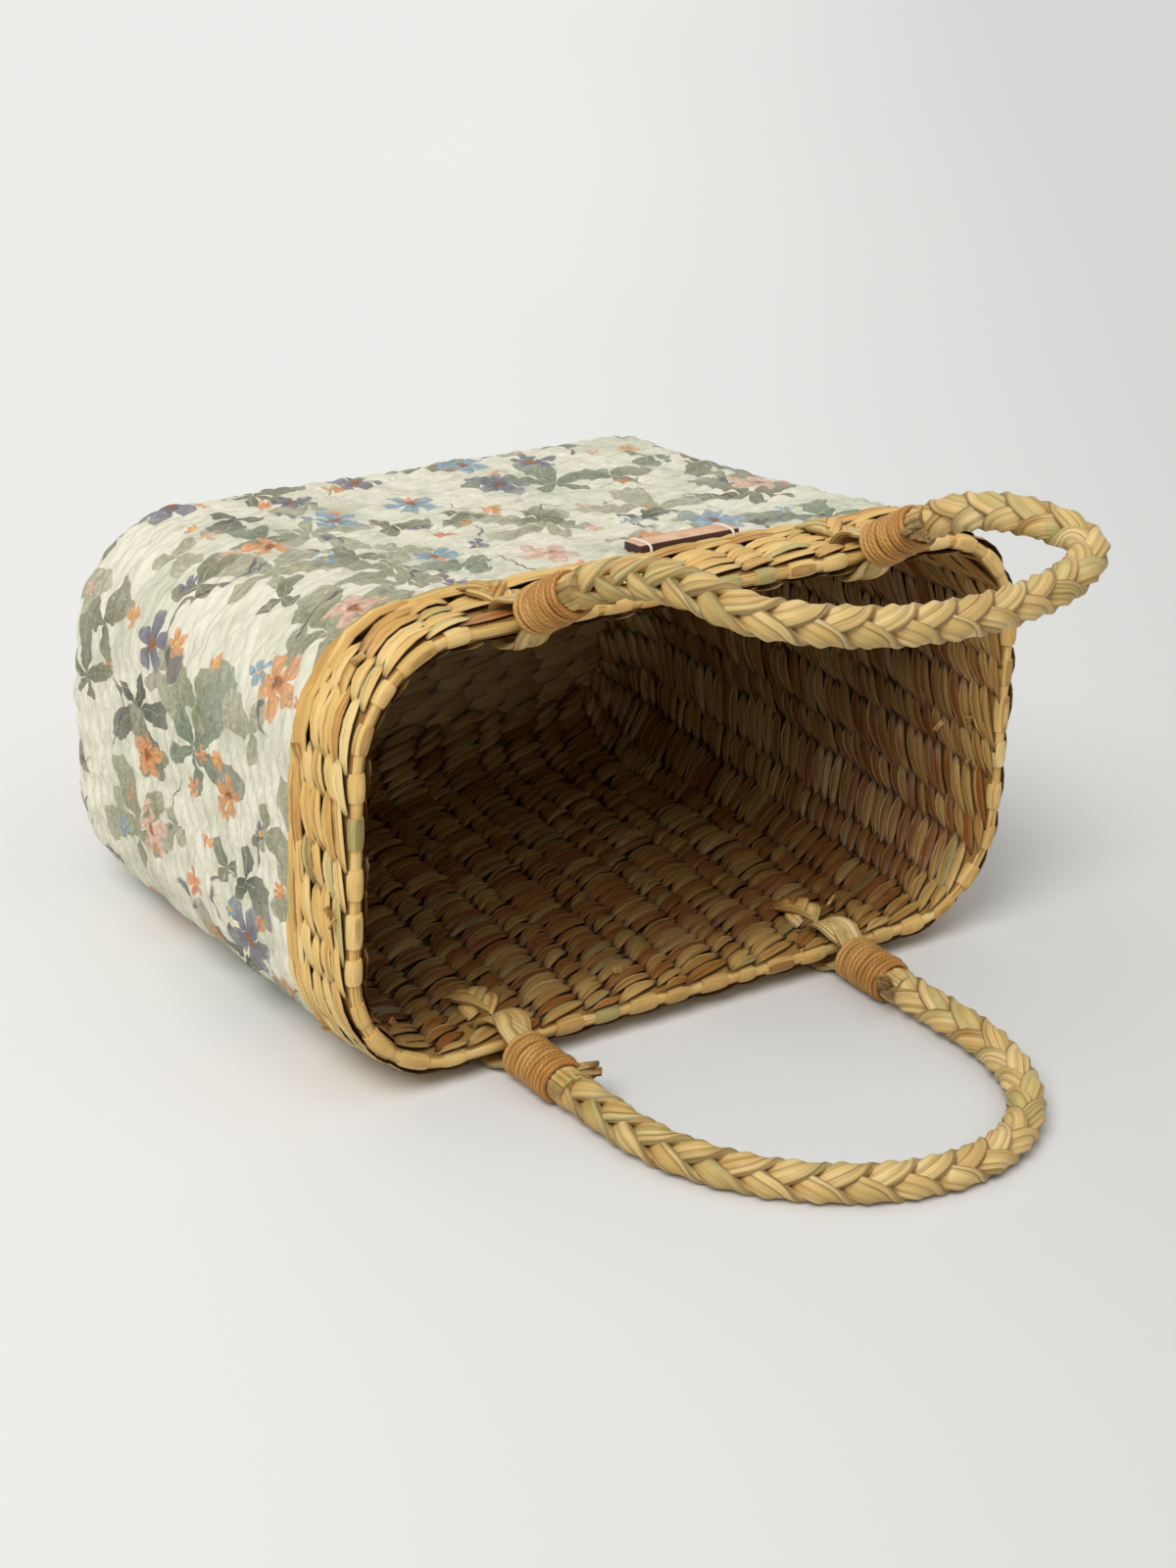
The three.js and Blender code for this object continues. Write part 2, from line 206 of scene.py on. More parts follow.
@dataclass(frozen=True)
class WallShape:
    """The flared wall with rounded corners and a rounded base edge, in metres.

    A place on it is a turn (share of the way round, from the middle of the lower broad side), a distance
    down from the rim, and a lift outwards from the outer face.
    """

    rim_width: float = 0.350
    rim_depth: float = 0.185
    base_width: float = 0.330
    base_depth: float = 0.166
    height: float = 0.245
    corner_radius: float = 0.052
    edge_radius: float = 0.034
    thickness: float = 0.008
    slack: float = 0.0022
    belly_height: float = 0.115
    belly_spread: float = 0.062
    ripple: float = 0.0007
    ripple_waves: tuple[tuple[int, float, float], ...] = ((7, 24.0, 0.0), (11, -37.0, 1.3))
    calm_span: Span = (0.012, 0.06)

    @property
    def wall_length(self) -> float:
        """Length of the straight wall from the rim to the base edge."""
        return self.height - self.edge_radius

    @property
    def edge_length(self) -> float:
        """Length of the rounded base edge along the middle of the wall."""
        return (self.edge_radius - self.thickness / 2) * math.pi / 2

    @property
    def half_straights(self) -> tuple[float, float]:
        """Half the straight runs of a long and a short side at the rim."""
        return self.rim_width / 2 - self.corner_radius, self.rim_depth / 2 - self.corner_radius

    @property
    def girth(self) -> float:
        """Length round the middle of the wall at the rim."""
        long_half, short_half = self.half_straights
        return 4 * (long_half + short_half) + TAU * (self.corner_radius - self.thickness / 2)

    def direction(self, turn: Array) -> tuple[Array, Array, Array]:
        """Place on the corner-centre rectangle and the outward angle at a turn.

        Args:
            turn: Shares of the way round.

        Returns:
            The rectangle's two coordinates, each from -1 to 1, and the outward angle.
        """
        long_half, short_half = self.half_straights
        quarter = (self.corner_radius - self.thickness / 2) * math.pi / 2
        half_round = [quarter, 2 * short_half, quarter]
        runs = [long_half, *half_round, 2 * long_half, *half_round, long_half]
        knots = np.concatenate([[0.0], np.cumsum(runs)])
        along = np.mod(turn, 1.0) * knots[-1]
        core_x = np.interp(along, knots, [0, 1, 1, 1, 1, -1, -1, -1, -1, 0])
        core_y = np.interp(along, knots, [-1, -1, -1, 1, 1, 1, 1, -1, -1, -1])
        angle = np.interp(along, knots, np.radians([-90, -90, 0, 0, 90, 90, 180, 180, 270, 270]))
        return core_x, core_y, angle

    def at(self, turn: Array, down: Array, lift: Array) -> Array:
        """Standing places of points on the wall.

        Args:
            turn: Shares of the way round.
            down: Distances from the rim along the wall.
            lift: Distances outwards from the outer face.

        Returns:
            One row of x, y, z for each point.
        """
        core_x, core_y, angle = self.direction(turn)
        past = np.clip(down - self.wall_length, 0.0, None)
        bend = np.clip(past / self.edge_length, 0.0, 1.0) * math.pi / 2
        flat = np.clip(past - self.edge_length, 0.0, None)
        reach = self.edge_radius + lift
        on_wall = down <= self.wall_length
        inset = np.where(on_wall, -lift, self.edge_radius - reach * np.cos(bend) + flat)
        height = np.where(on_wall, self.height - down, self.edge_radius - reach * np.sin(bend))
        share = height / self.height
        half_x = (self.base_width + (self.rim_width - self.base_width) * share) / 2 - self.corner_radius
        half_y = (self.base_depth + (self.rim_depth - self.base_depth) * share) / 2 - self.corner_radius
        out = np.clip(self.corner_radius - inset, 0.0, None) + self.give(turn, angle, height) * np.cos(bend)
        shrink = np.clip(self.corner_radius - inset, None, 0.0)
        x = core_x * (half_x + shrink) + out * np.cos(angle)
        y = core_y * (half_y + shrink) + out * np.sin(angle)
        return np.stack([x, y, height], axis=-1)

    def give(self, turn: Array, angle: Array, height: Array) -> Array:
        """How far the soft wall sags or swells from its even shape.

        Args:
            turn: Shares of the way round.
            angle: Outward angles.
            height: Heights above the base.

        Returns:
            Distances outwards.
        """
        belly = np.exp(-(((height - self.belly_height) / self.belly_spread) ** 2))
        top = np.clip(np.sin(angle), 0.0, 1.0) ** 4
        ends = np.clip(np.abs(np.cos(angle)), 0.0, 1.0) ** 4
        waves = 0.0
        for count, up, start in self.ripple_waves:
            waves = waves + np.sin(TAU * count * turn + up * height + start)
        calm = smooth(self.height - height, *self.calm_span)
        return self.slack * belly * (0.5 * ends - top) + 0.5 * self.ripple * waves * calm

    def off_face(self, face: Face, rise: Array) -> Array:
        """Lift of points that stand off one face of the wall by a distance."""
        return rise if face is Face.OUTSIDE else -self.thickness - rise


@dataclass(frozen=True)
class HandlePlaces:
    """Where the handles hold on to the rim and how their bound ends run, in metres."""

    spread: float = 0.177
    from_middle: float = -0.006
    border: float = 0.014
    eye_clearance: float = 0.0004
    eye_thickness: float = 0.004
    lashing_start: float = 0.01285
    lashing_pitch: float = 0.00245
    lashing_turns: int = 11
    cord_radius: float = 0.00095

    @property
    def eye_inner(self) -> float:
        """Inner radius of an eye round the rim."""
        return self.border / 2 + self.eye_clearance

    @property
    def eye_outer(self) -> float:
        """Outer radius of an eye round the rim."""
        return self.eye_inner + self.eye_thickness

    @property
    def eye_middle(self) -> float:
        """Radius of the middle of an eye's strands."""
        return (self.eye_inner + self.eye_outer) / 2

    @property
    def bound_end(self) -> float:
        """Distance from the hinge to the end of the lashing."""
        return self.lashing_start + self.lashing_turns * self.lashing_pitch + self.cord_radius

    def eye_turns(self, wall: WallShape) -> list[float]:
        """Turns of the four eyes on the wall, on its lower side first."""
        turns = [(self.from_middle + side * self.spread / 2) / wall.girth for side in (-1, 1)]
        return turns + [0.5 - turn for turn in turns]


# Meshes


@dataclass
class Pattern:
    """A small shape drawn once, ready to be copied: x along it, y across it, z off the surface."""

    points: Array
    corners: Array
    counts: Array
    strand: Array
    across: Array

    @classmethod
    def from_object(cls, piece: Piece, strands: int) -> "Pattern":
        """Read a drawn shape and remove its object.

        Args:
            piece: The object that was modelled.
            strands: How many equal strands it holds, one after the other.

        Returns:
            The pattern.
        """
        mesh = piece.data
        places = mesh_points(mesh)
        corners = np.empty(len(mesh.loops), dtype=np.int64)
        mesh.loops.foreach_get("vertex_index", corners)
        counts = np.empty(len(mesh.polygons), dtype=np.int64)
        mesh.polygons.foreach_get("loop_total", counts)
        strand = np.arange(len(mesh.vertices)) * strands // len(mesh.vertices)
        bpy.data.objects.remove(piece)
        bpy.data.meshes.remove(mesh)
        return cls(places, corners, counts, strand, places[:, 1])

    @property
    def side(self) -> Array:
        """1 at the sides and tips of the strands, 0 along their crowns."""
        return ((np.abs(self.across) > 1e-5) | (np.abs(self.points[:, 0]) > 0.49)).astype(float)

    def grain(self, along: Array, shades: Array) -> Array:
        """Distances along and across the reed for one copy, moved by two of its draws."""
        return np.stack([along + 3.7 * shades[7], self.across + 0.1 * self.strand + shades[6]], axis=1)


@dataclass
class Sheaf:
    """Mesh data gathered from many copies, with a grain map and a tone for each point."""

    points: list[Array] = field(default_factory=list)
    corners: list[Array] = field(default_factory=list)
    counts: list[Array] = field(default_factory=list)
    grain: list[Array] = field(default_factory=list)
    tone: list[Array] = field(default_factory=list)
    total: int = 0

    def add(self, points: Array, corners: Array, counts: Array, grain: Array, tone: Array) -> None:
        """Add one shape.

        Args:
            points: Its places.
            corners: Point numbers of its faces, one face after the other.
            counts: Corners of each face.
            grain: Distance along and across the reed at each point.
            tone: Shade, greenness, darkness and nearness to the strand's side at each point.
        """
        self.points.append(points)
        self.corners.append(corners + self.total)
        self.counts.append(counts)
        self.grain.append(grain)
        self.tone.append(tone)
        self.total += len(points)

    def add_grid(self, points: Array, grain: Array, tone: Array, closed: tuple[bool, bool]) -> None:
        """Add a grid of points as quads, with flat ends where only its columns close.

        Args:
            points: Rows by columns by 3.
            grain: Rows by columns by 2.
            tone: Rows by columns by 4.
            closed: Whether the rows and the columns run round in a ring.
        """
        rows, columns = points.shape[:2]
        index = np.arange(rows * columns).reshape(rows, columns)
        row_pairs = rows if closed[0] else rows - 1
        column_pairs = columns if closed[1] else columns - 1
        here = index[:row_pairs, :column_pairs]
        right = np.roll(index, -1, axis=1)[:row_pairs, :column_pairs]
        above = np.roll(index, -1, axis=0)[:row_pairs, :column_pairs]
        corner = np.roll(np.roll(index, -1, axis=0), -1, axis=1)[:row_pairs, :column_pairs]
        quads = np.stack([here, right, corner, above], axis=-1).reshape(-1)
        counts = np.full(row_pairs * column_pairs, 4)
        if closed[1] and not closed[0]:
            quads = np.concatenate([quads, index[0][::-1], index[-1]])
            counts = np.concatenate([counts, [columns, columns]])
        self.add(points.reshape(-1, 3), quads, counts, grain.reshape(-1, 2), tone.reshape(-1, 4))

    def to_object(self, name: str, material: Material, angle: float) -> Piece:
        """Make the mesh object.

        Args:
            name: Piece name.
            material: Its finish.
            angle: Edges sharper than this many degrees stay sharp.

        Returns:
            The object, at the origin.
        """
        points = np.concatenate(self.points)
        corners = np.concatenate(self.corners)
        counts = np.concatenate(self.counts)
        mesh = bpy.data.meshes.new(name)
        mesh.vertices.add(len(points))
        mesh.vertices.foreach_set("co", points.astype(np.float32).ravel())
        mesh.loops.add(len(corners))
        mesh.loops.foreach_set("vertex_index", corners.astype(np.int32))
        mesh.polygons.add(len(counts))
        starts = np.concatenate([[0], np.cumsum(counts)[:-1]])
        mesh.polygons.foreach_set("loop_start", starts.astype(np.int32))
        mesh.update(calc_edges=True)
        mesh.validate()
        grain = mesh.uv_layers.new(name="grain")
        grain.data.foreach_set("uv", np.concatenate(self.grain)[corners].astype(np.float32).ravel())
        keep_tone(mesh, np.concatenate(self.tone))
        mesh.materials.append(material)
        piece = bpy.data.objects.new(name, mesh)
        bpy.context.collection.objects.link(piece)
        smooth_piece(piece, angle)
        return piece


def mesh_points(mesh: bpy.types.Mesh) -> Array:
    """Read the places of a mesh's points.

    Args:
        mesh: The mesh.

    Returns:
        One row of x, y, z for each point.
    """
    places = np.empty(len(mesh.vertices) * 3)
    mesh.vertices.foreach_get("co", places)
    return places.reshape(-1, 3)


def keep_tone(mesh: bpy.types.Mesh, tone: Array) -> None:
    """Keep shade, greenness, darkness and nearness to a strand's side on a mesh's points."""
    layer = mesh.color_attributes.new("tone", "FLOAT_COLOR", "POINT")
    layer.data.foreach_set("color", tone.astype(np.float32).ravel())


def dress(piece: Piece, body: str, slot: str, *nodes: str) -> None:
    """Ride a piece on a body and hide the solids that it stands for.

    Args:
        piece: The piece.
        body: Body that carries it.
        slot: Not used.
        nodes: Solids that it stands for.
    """
    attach(piece, body)
    if nodes:
        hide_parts(*nodes)
    LOG.info("%s: %d faces", piece.name, len(piece.data.polygons))


def deselect() -> None:
    """Leave edit mode and clear the selection."""
    if bpy.context.object is not None and bpy.context.object.mode != "OBJECT":
        bpy.ops.object.mode_set(mode="OBJECT")
    bpy.ops.object.select_all(action="DESELECT")


def activate(piece: Piece) -> None:
    """Make one piece the only selected and the active one."""
    deselect()
    piece.select_set(True)
    bpy.context.view_layer.objects.active = piece


def smooth_piece(piece: Piece, angle: float) -> None:
    """Shade a piece smooth except along edges sharper than an angle in degrees."""
    activate(piece)
    bpy.ops.object.shade_smooth_by_angle(angle=math.radians(angle))
    deselect()


def pick(piece: Piece, test: Callable[[Vector], bool]) -> None:
    """Select the points of a piece in edit mode by their place.

    Args:
        piece: The piece in edit mode.
        test: Tells whether a point is wanted.
    """
    shape = bmesh.from_edit_mesh(piece.data)
    for part in (*shape.edges, *shape.faces):
        part.select = False
    for vertex in shape.verts:
        vertex.select = test(vertex.co)
    shape.select_flush(True)
    bmesh.update_edit_mesh(piece.data)


def pick_edges(piece: Piece, test: Callable[[Vector, Vector], bool]) -> None:
    """Select the edges of a piece in edit mode by the places of their ends.

    Args:
        piece: The piece in edit mode.
        test: Tells whether an edge is wanted.
    """
    bpy.ops.mesh.select_mode(type="EDGE")
    shape = bmesh.from_edit_mesh(piece.data)
    for edge in shape.edges:
        edge.select_set(False)
    for edge in shape.edges:
        if test(edge.verts[0].co, edge.verts[1].co):
            edge.select_set(True)
    bmesh.update_edit_mesh(piece.data)


def draw_strand(sides: int, stations: int, shape: Callable[[float], tuple[float, ...]]) -> Pattern:
    """Model one reed strand: a thin unit-long prism cut into stations that are sized and moved one by one.

    Args:
        sides: Sides of the prism.
        stations: Rings along it.
        shape: From the share along it, gives width, thickness, shift across and rise.

    Returns:
        The strand as a pattern.
    """
    deselect()
    bpy.ops.mesh.primitive_cylinder_add(vertices=sides, radius=0.5, depth=1.0, rotation=(0, math.pi / 2, 0))
    piece = bpy.context.object
    bpy.ops.object.transform_apply(location=True, rotation=True, scale=True)
    bpy.ops.object.mode_set(mode="EDIT")
    pick_edges(piece, lambda a, b: abs(a.x - b.x) > 0.5)
    bpy.ops.mesh.subdivide(number_cuts=stations - 2)
    bpy.ops.mesh.select_mode(type="VERT")
    for station in range(stations):
        place = station / (stations - 1) - 0.5
        width, thickness, shift, rise = shape(station / (stations - 1))
        pick(piece, lambda co, place=place: abs(co.x - place) < 0.2 / stations)
        bpy.ops.transform.resize(value=(1.0, thickness, width), center_override=(place, 0.0, 0.0))
        bpy.ops.transform.translate(value=(0.0, rise, -shift))
    bpy.ops.object.mode_set(mode="OBJECT")
    pattern = Pattern.from_object(piece, 1)
    pattern.points = pattern.points[:, [0, 2, 1]] * np.array([1.0, -1.0, 1.0])
    shifts = np.array([shape(share)[2] for share in np.clip(pattern.points[:, 0] + 0.5, 0.0, 1.0)])
    pattern.across = pattern.points[:, 1] - shifts
    return pattern


def gather(strands: Sequence[Pattern]) -> Pattern:
    """Put strands together as one pattern, each keeping its own strand number.

    Args:
        strands: The strands.

    Returns:
        The joined pattern.
    """
    starts = np.concatenate([[0], np.cumsum([len(s.points) for s in strands])[:-1]])
    return Pattern(
        np.concatenate([s.points for s in strands]),
        np.concatenate([s.corners + start for s, start in zip(strands, starts)]),
        np.concatenate([s.counts for s in strands]),
        np.concatenate([np.full(len(s.points), number) for number, s in enumerate(strands)]),
        np.concatenate([s.across for s in strands]),
    )


# Finishes


class NodeSheet:
    """Short calls that wire the nodes of one material or of the room's light."""

    def __init__(self, name: str, world: bool = False) -> None:
        """Start a material, or a world, with its shader.

        Args:
            name: Its name.
            world: Whether it is a world.
        """
        self.material = (bpy.data.worlds if world else bpy.data.materials).new(name)
        self.material.use_nodes = True
        self.tree = self.material.node_tree
        self.shader = self.tree.nodes["Background" if world else "Principled BSDF"]

    def node(self, kind: str, **settings: object) -> bpy.types.Node:
        """Add a node and set its options."""
        made = self.tree.nodes.new(kind)
        for key, value in settings.items():
            setattr(made, key, value)
        return made

    def feed(self, value: object, socket: Socket) -> None:
        """Link a socket to another, or set its value."""
        if isinstance(value, Socket):
            self.tree.links.new(value, socket)
        else:
            socket.default_value = value

    def math(self, operation: str, first: object, second: object = 0.0, clamp: bool = False) -> Socket:
        """Add a math node.

        Args:
            operation: Blender's name of the sum.
            first: Socket or number.
            second: Socket or number.
            clamp: Whether the result is held from 0 to 1.

        Returns:
            The result.
        """
        made = self.node("ShaderNodeMath", operation=operation, use_clamp=clamp)
        self.feed(first, made.inputs[0])
        self.feed(second, made.inputs[1])
        return made.outputs[0]

    def affine(self, value: object, scale: float, offset: float) -> Socket:
        """Scale a number and add an offset to it."""
        made = self.math("MULTIPLY_ADD", value, scale)
        made.node.inputs[2].default_value = offset
        return made

    def times(self, first: object, second: object) -> Socket:
        """Multiply two numbers."""
        return self.math("MULTIPLY", first, second)

    def inverse(self, value: object) -> Socket:
        """Take a number from 1."""
        return self.math("SUBTRACT", 1.0, value)

    def vector(self, operation: str, first: object, second: object) -> Socket:
        """Add a vector math node that gives a vector, or a number for a length."""
        made = self.node("ShaderNodeVectorMath", operation=operation)
        self.feed(first, made.inputs[0])
        self.feed(second, made.inputs[1])
        return made.outputs["Value" if operation == "LENGTH" else "Vector"]

    def step(self, value: object, low: float, high: float) -> Socket:
        """Ease from 0 at low to 1 at high."""
        made = self.node("ShaderNodeMapRange", interpolation_type="SMOOTHSTEP")
        self.feed(value, made.inputs["Value"])
        made.inputs["From Min"].default_value = low
        made.inputs["From Max"].default_value = high
        return made.outputs["Result"]

    def mix(self, share: object, first: object, second: object, blend: str = "MIX") -> Socket:
        """Mix two colours.

        Args:
            share: How much of the second.
            first: Socket or colour.
            second: Socket or colour.
            blend: Blender's name of the mix.

        Returns:
            The mixed colour.
        """
        made = self.node("ShaderNodeMix", data_type="RGBA", blend_type=blend)
        self.feed(share, made.inputs["Factor"])
        self.feed(first, made.inputs[6])
        self.feed(second, made.inputs[7])
        return made.outputs[2]

    def ramp(self, share: object, stops: Stops, flat: bool = False) -> Socket:
        """Read a colour ramp.

        Args:
            share: Where to read it.
            stops: Places and colours.
            flat: Whether colours change in steps.

        Returns:
            The colour.
        """
        made = self.node("ShaderNodeValToRGB")
        made.color_ramp.interpolation = "CONSTANT" if flat else "LINEAR"
        bar = made.color_ramp.elements
        while len(bar) < len(stops):
            bar.new(0.5)
        for element, (place, colour) in zip(bar, stops):
            element.position = place
            element.color = colour
        self.feed(share, made.inputs["Fac"])
        return made.outputs["Color"]

    def split(self, vector: Socket) -> list[Socket]:
        """Give a vector's or colour's three numbers."""
        made = self.node("ShaderNodeSeparateXYZ")
        self.feed(vector, made.inputs[0])
        return list(made.outputs)

    def scaled(self, vector: Socket, scale: Triple) -> Socket:
        """Stretch coordinates."""
        made = self.node("ShaderNodeMapping")
        self.feed(vector, made.inputs["Vector"])
        made.inputs["Scale"].default_value = scale
        return made.outputs["Vector"]

    def noise(self, vector: Socket, scale: float | Triple, detail: float = 2.0) -> Socket:
        """Read soft noise from 0 to 1.

        Args:
            vector: Coordinates.
            scale: How fine it is, for all directions or for each.
            detail: How many finer layers it has.

        Returns:
            The noise.
        """
        made = self.node("ShaderNodeTexNoise")
        even = not isinstance(scale, tuple)
        self.feed(vector if even else self.scaled(vector, scale), made.inputs["Vector"])
        made.inputs["Scale"].default_value = scale if even else 1.0
        made.inputs["Detail"].default_value = detail
        return made.outputs["Fac"]

    def grain(self) -> Socket:
        """Distances along and across the strand, from its own map."""
        return self.node("ShaderNodeUVMap", uv_map="grain").outputs["UV"]

    def tone(self) -> list[Socket]:
        """Shade, greenness and darkness kept on the mesh; the darkness is painted shade, with some wear on cut
        ends.
        """
        return self.split(self.node("ShaderNodeAttribute", attribute_name="tone").outputs["Color"])

    def edge(self) -> Socket:
        """Nearness to the strand's side, from 0 on its crown to 1."""
        return self.node("ShaderNodeAttribute", attribute_name="tone").outputs["Alpha"]

    def place(self) -> Socket:
        """Object coordinates."""
        return self.node("ShaderNodeTexCoord").outputs["Object"]

    def surface(self, colour: Socket, roughness: object, specular: float = 0.5) -> None:
        """Give the shader its colour, roughness and sheen."""
        self.feed(colour, self.shader.inputs["Base Color"])
        self.feed(roughness, self.shader.inputs["Roughness"])
        self.shader.inputs["Specular IOR Level"].default_value = specular

    def bump(self, height: Socket, strength: float, distance: float) -> None:
        """Give the shader fine relief."""
        made = self.node("ShaderNodeBump")
        self.feed(height, made.inputs["Height"])
        made.inputs["Strength"].default_value = strength
        made.inputs["Distance"].default_value = distance
        self.feed(made.outputs["Normal"], self.shader.inputs["Normal"])


@dataclass(frozen=True)
class ReedFinish:
    """Dry flat reed: straw shades with fine fibre lines along each strand, and painted shade along the strips'
    sides and from the tone's dark share.
    """

    name: str
    shades: Stops
    green: Colour
    shadow: Colour
    roughness: float = 0.5
    gloss_spread: float = 0.3
    sheen: float = 0.38
    fibre: Triple = (70.0, 2300.0, 1.0)
    fibre_lines: Stops = ((0.32, (0.58, 0.52, 0.45, 1.0)), (0.6, WHITE))
    fibre_share: float = 0.6
    streak: Triple = (14.0, 620.0, 1.0)
    pleats: Stops = ((0.34, (0.5, 0.42, 0.34, 1.0)), (0.42, WHITE))
    pleat_share: float = 0.8
    blotch: float = 34.0
    sway: float = 0.5
    # Painted shade along the sides of each strip.
    painted_edge_shade: float = 0.8
    painted_edge_shade_span: Span = (0.74, 0.98)
    relief: Span = (0.5, 0.00035)

    def make(self) -> Material:
        """Wire the material.

        Returns:
            The material.
        """
        sheet = NodeSheet(self.name)
        grain = sheet.grain()
        shade, green, dark = sheet.tone()
        fibre = sheet.noise(grain, self.fibre, 3.0)
        streak = sheet.noise(grain, self.streak, 2.0)
        blotch = sheet.noise(sheet.place(), self.blotch, 3.0)
        level = sheet.math("ADD", shade, sheet.affine(blotch, self.sway, -self.sway / 2))
        level = sheet.math("ADD", level, sheet.affine(streak, self.sway, -self.sway / 2), clamp=True)
        colour = sheet.mix(green, sheet.ramp(level, self.shades), self.green)
        colour = sheet.mix(self.fibre_share, colour, sheet.ramp(fibre, self.fibre_lines), "MULTIPLY")
        colour = sheet.mix(self.pleat_share, colour, sheet.ramp(streak, self.pleats), "MULTIPLY")
        # Painted shade: strip sides darken as in the shadow between overlapping strips, and the tone's dark share
        # darkens towards the shadow colour.
        painted_edge_shade = sheet.times(sheet.step(sheet.edge(), *self.painted_edge_shade_span), self.painted_edge_shade)
        colour = sheet.mix(painted_edge_shade, colour, self.shadow)
        colour = sheet.mix(dark, colour, self.shadow)
        rough = sheet.affine(fibre, self.gloss_spread, self.roughness - self.gloss_spread / 2)
        sheet.surface(colour, rough, self.sheen)
        sheet.bump(sheet.math("ADD", fibre, streak), *self.relief)
        return sheet.material


@dataclass(frozen=True)
class TwineFinish:
    """Waxed orange-brown twine with twisted plies and painted shade in the grooves between them, darker towards
    the far end.
    """

    name: str = "waxed_twine"
    near: Colour = srgb(209, 163, 90)
    far: Colour = srgb(180, 120, 50)
    groove: Colour = srgb(108, 68, 28)
    painted_ply_shade_share: float = 0.5
    painted_ply_shade_span: Span = (0.0, 0.45)
    plies_along: float = 420.0
    plies_around: float = 3.0
    patch: float = 120.0
    patch_sway: float = 0.5
    fibre: Triple = (110.0, 7.0, 1.0)
    fibre_lines: Stops = ((0.34, (0.46, 0.36, 0.26, 1.0)), (0.62, WHITE))
    fibre_share: float = 0.75
    hair: float = 900.0
    hair_share: float = 0.8
    roughness: float = 0.5
    sheen: float = 0.4
    relief: Span = (0.3, 0.0003)

    def make(self) -> Material:
        """Wire the material.

        Returns:
            The material.
        """
        sheet = NodeSheet(self.name)
        shade, _, _ = sheet.tone()
        along, around, _ = sheet.split(sheet.grain())
        around = sheet.times(around, self.plies_around)
        twist = sheet.math("ADD", sheet.times(along, self.plies_along), around)
        ply = sheet.math("ABSOLUTE", sheet.math("SINE", sheet.times(twist, math.pi)))
        patch = sheet.noise(sheet.place(), self.patch, 2.0)
        patch = sheet.affine(patch, self.patch_sway, -self.patch_sway / 2)
        level = sheet.math("ADD", shade, patch, clamp=True)
        colour = sheet.mix(level, self.near, self.far)
        # Painted shade in the grooves between the plies.
        deep = sheet.inverse(sheet.step(ply, *self.painted_ply_shade_span))
        colour = sheet.mix(sheet.times(deep, self.painted_ply_shade_share), colour, self.groove)
        fibre = sheet.noise(sheet.grain(), self.fibre, 3.0)
        colour = sheet.mix(self.fibre_share, colour, sheet.ramp(fibre, self.fibre_lines), "MULTIPLY")
        sheet.surface(colour, self.roughness, self.sheen)
        hair = sheet.noise(sheet.place(), self.hair, 3.0)
        sheet.bump(sheet.math("ADD", ply, sheet.times(hair, self.hair_share)), *self.relief)
        return sheet.material


@dataclass(frozen=True)
class SprigLayer:
    """One layer of painted sprigs: leaves or petals set round scattered points."""

    spacing: float
    radius: float
    petals: float
    slimness: float
    lopsided: float
    presence: float
    seed: float
    colours: tuple[Colour, ...]
    heart: Colour | None = None
    rib: float = 0.0


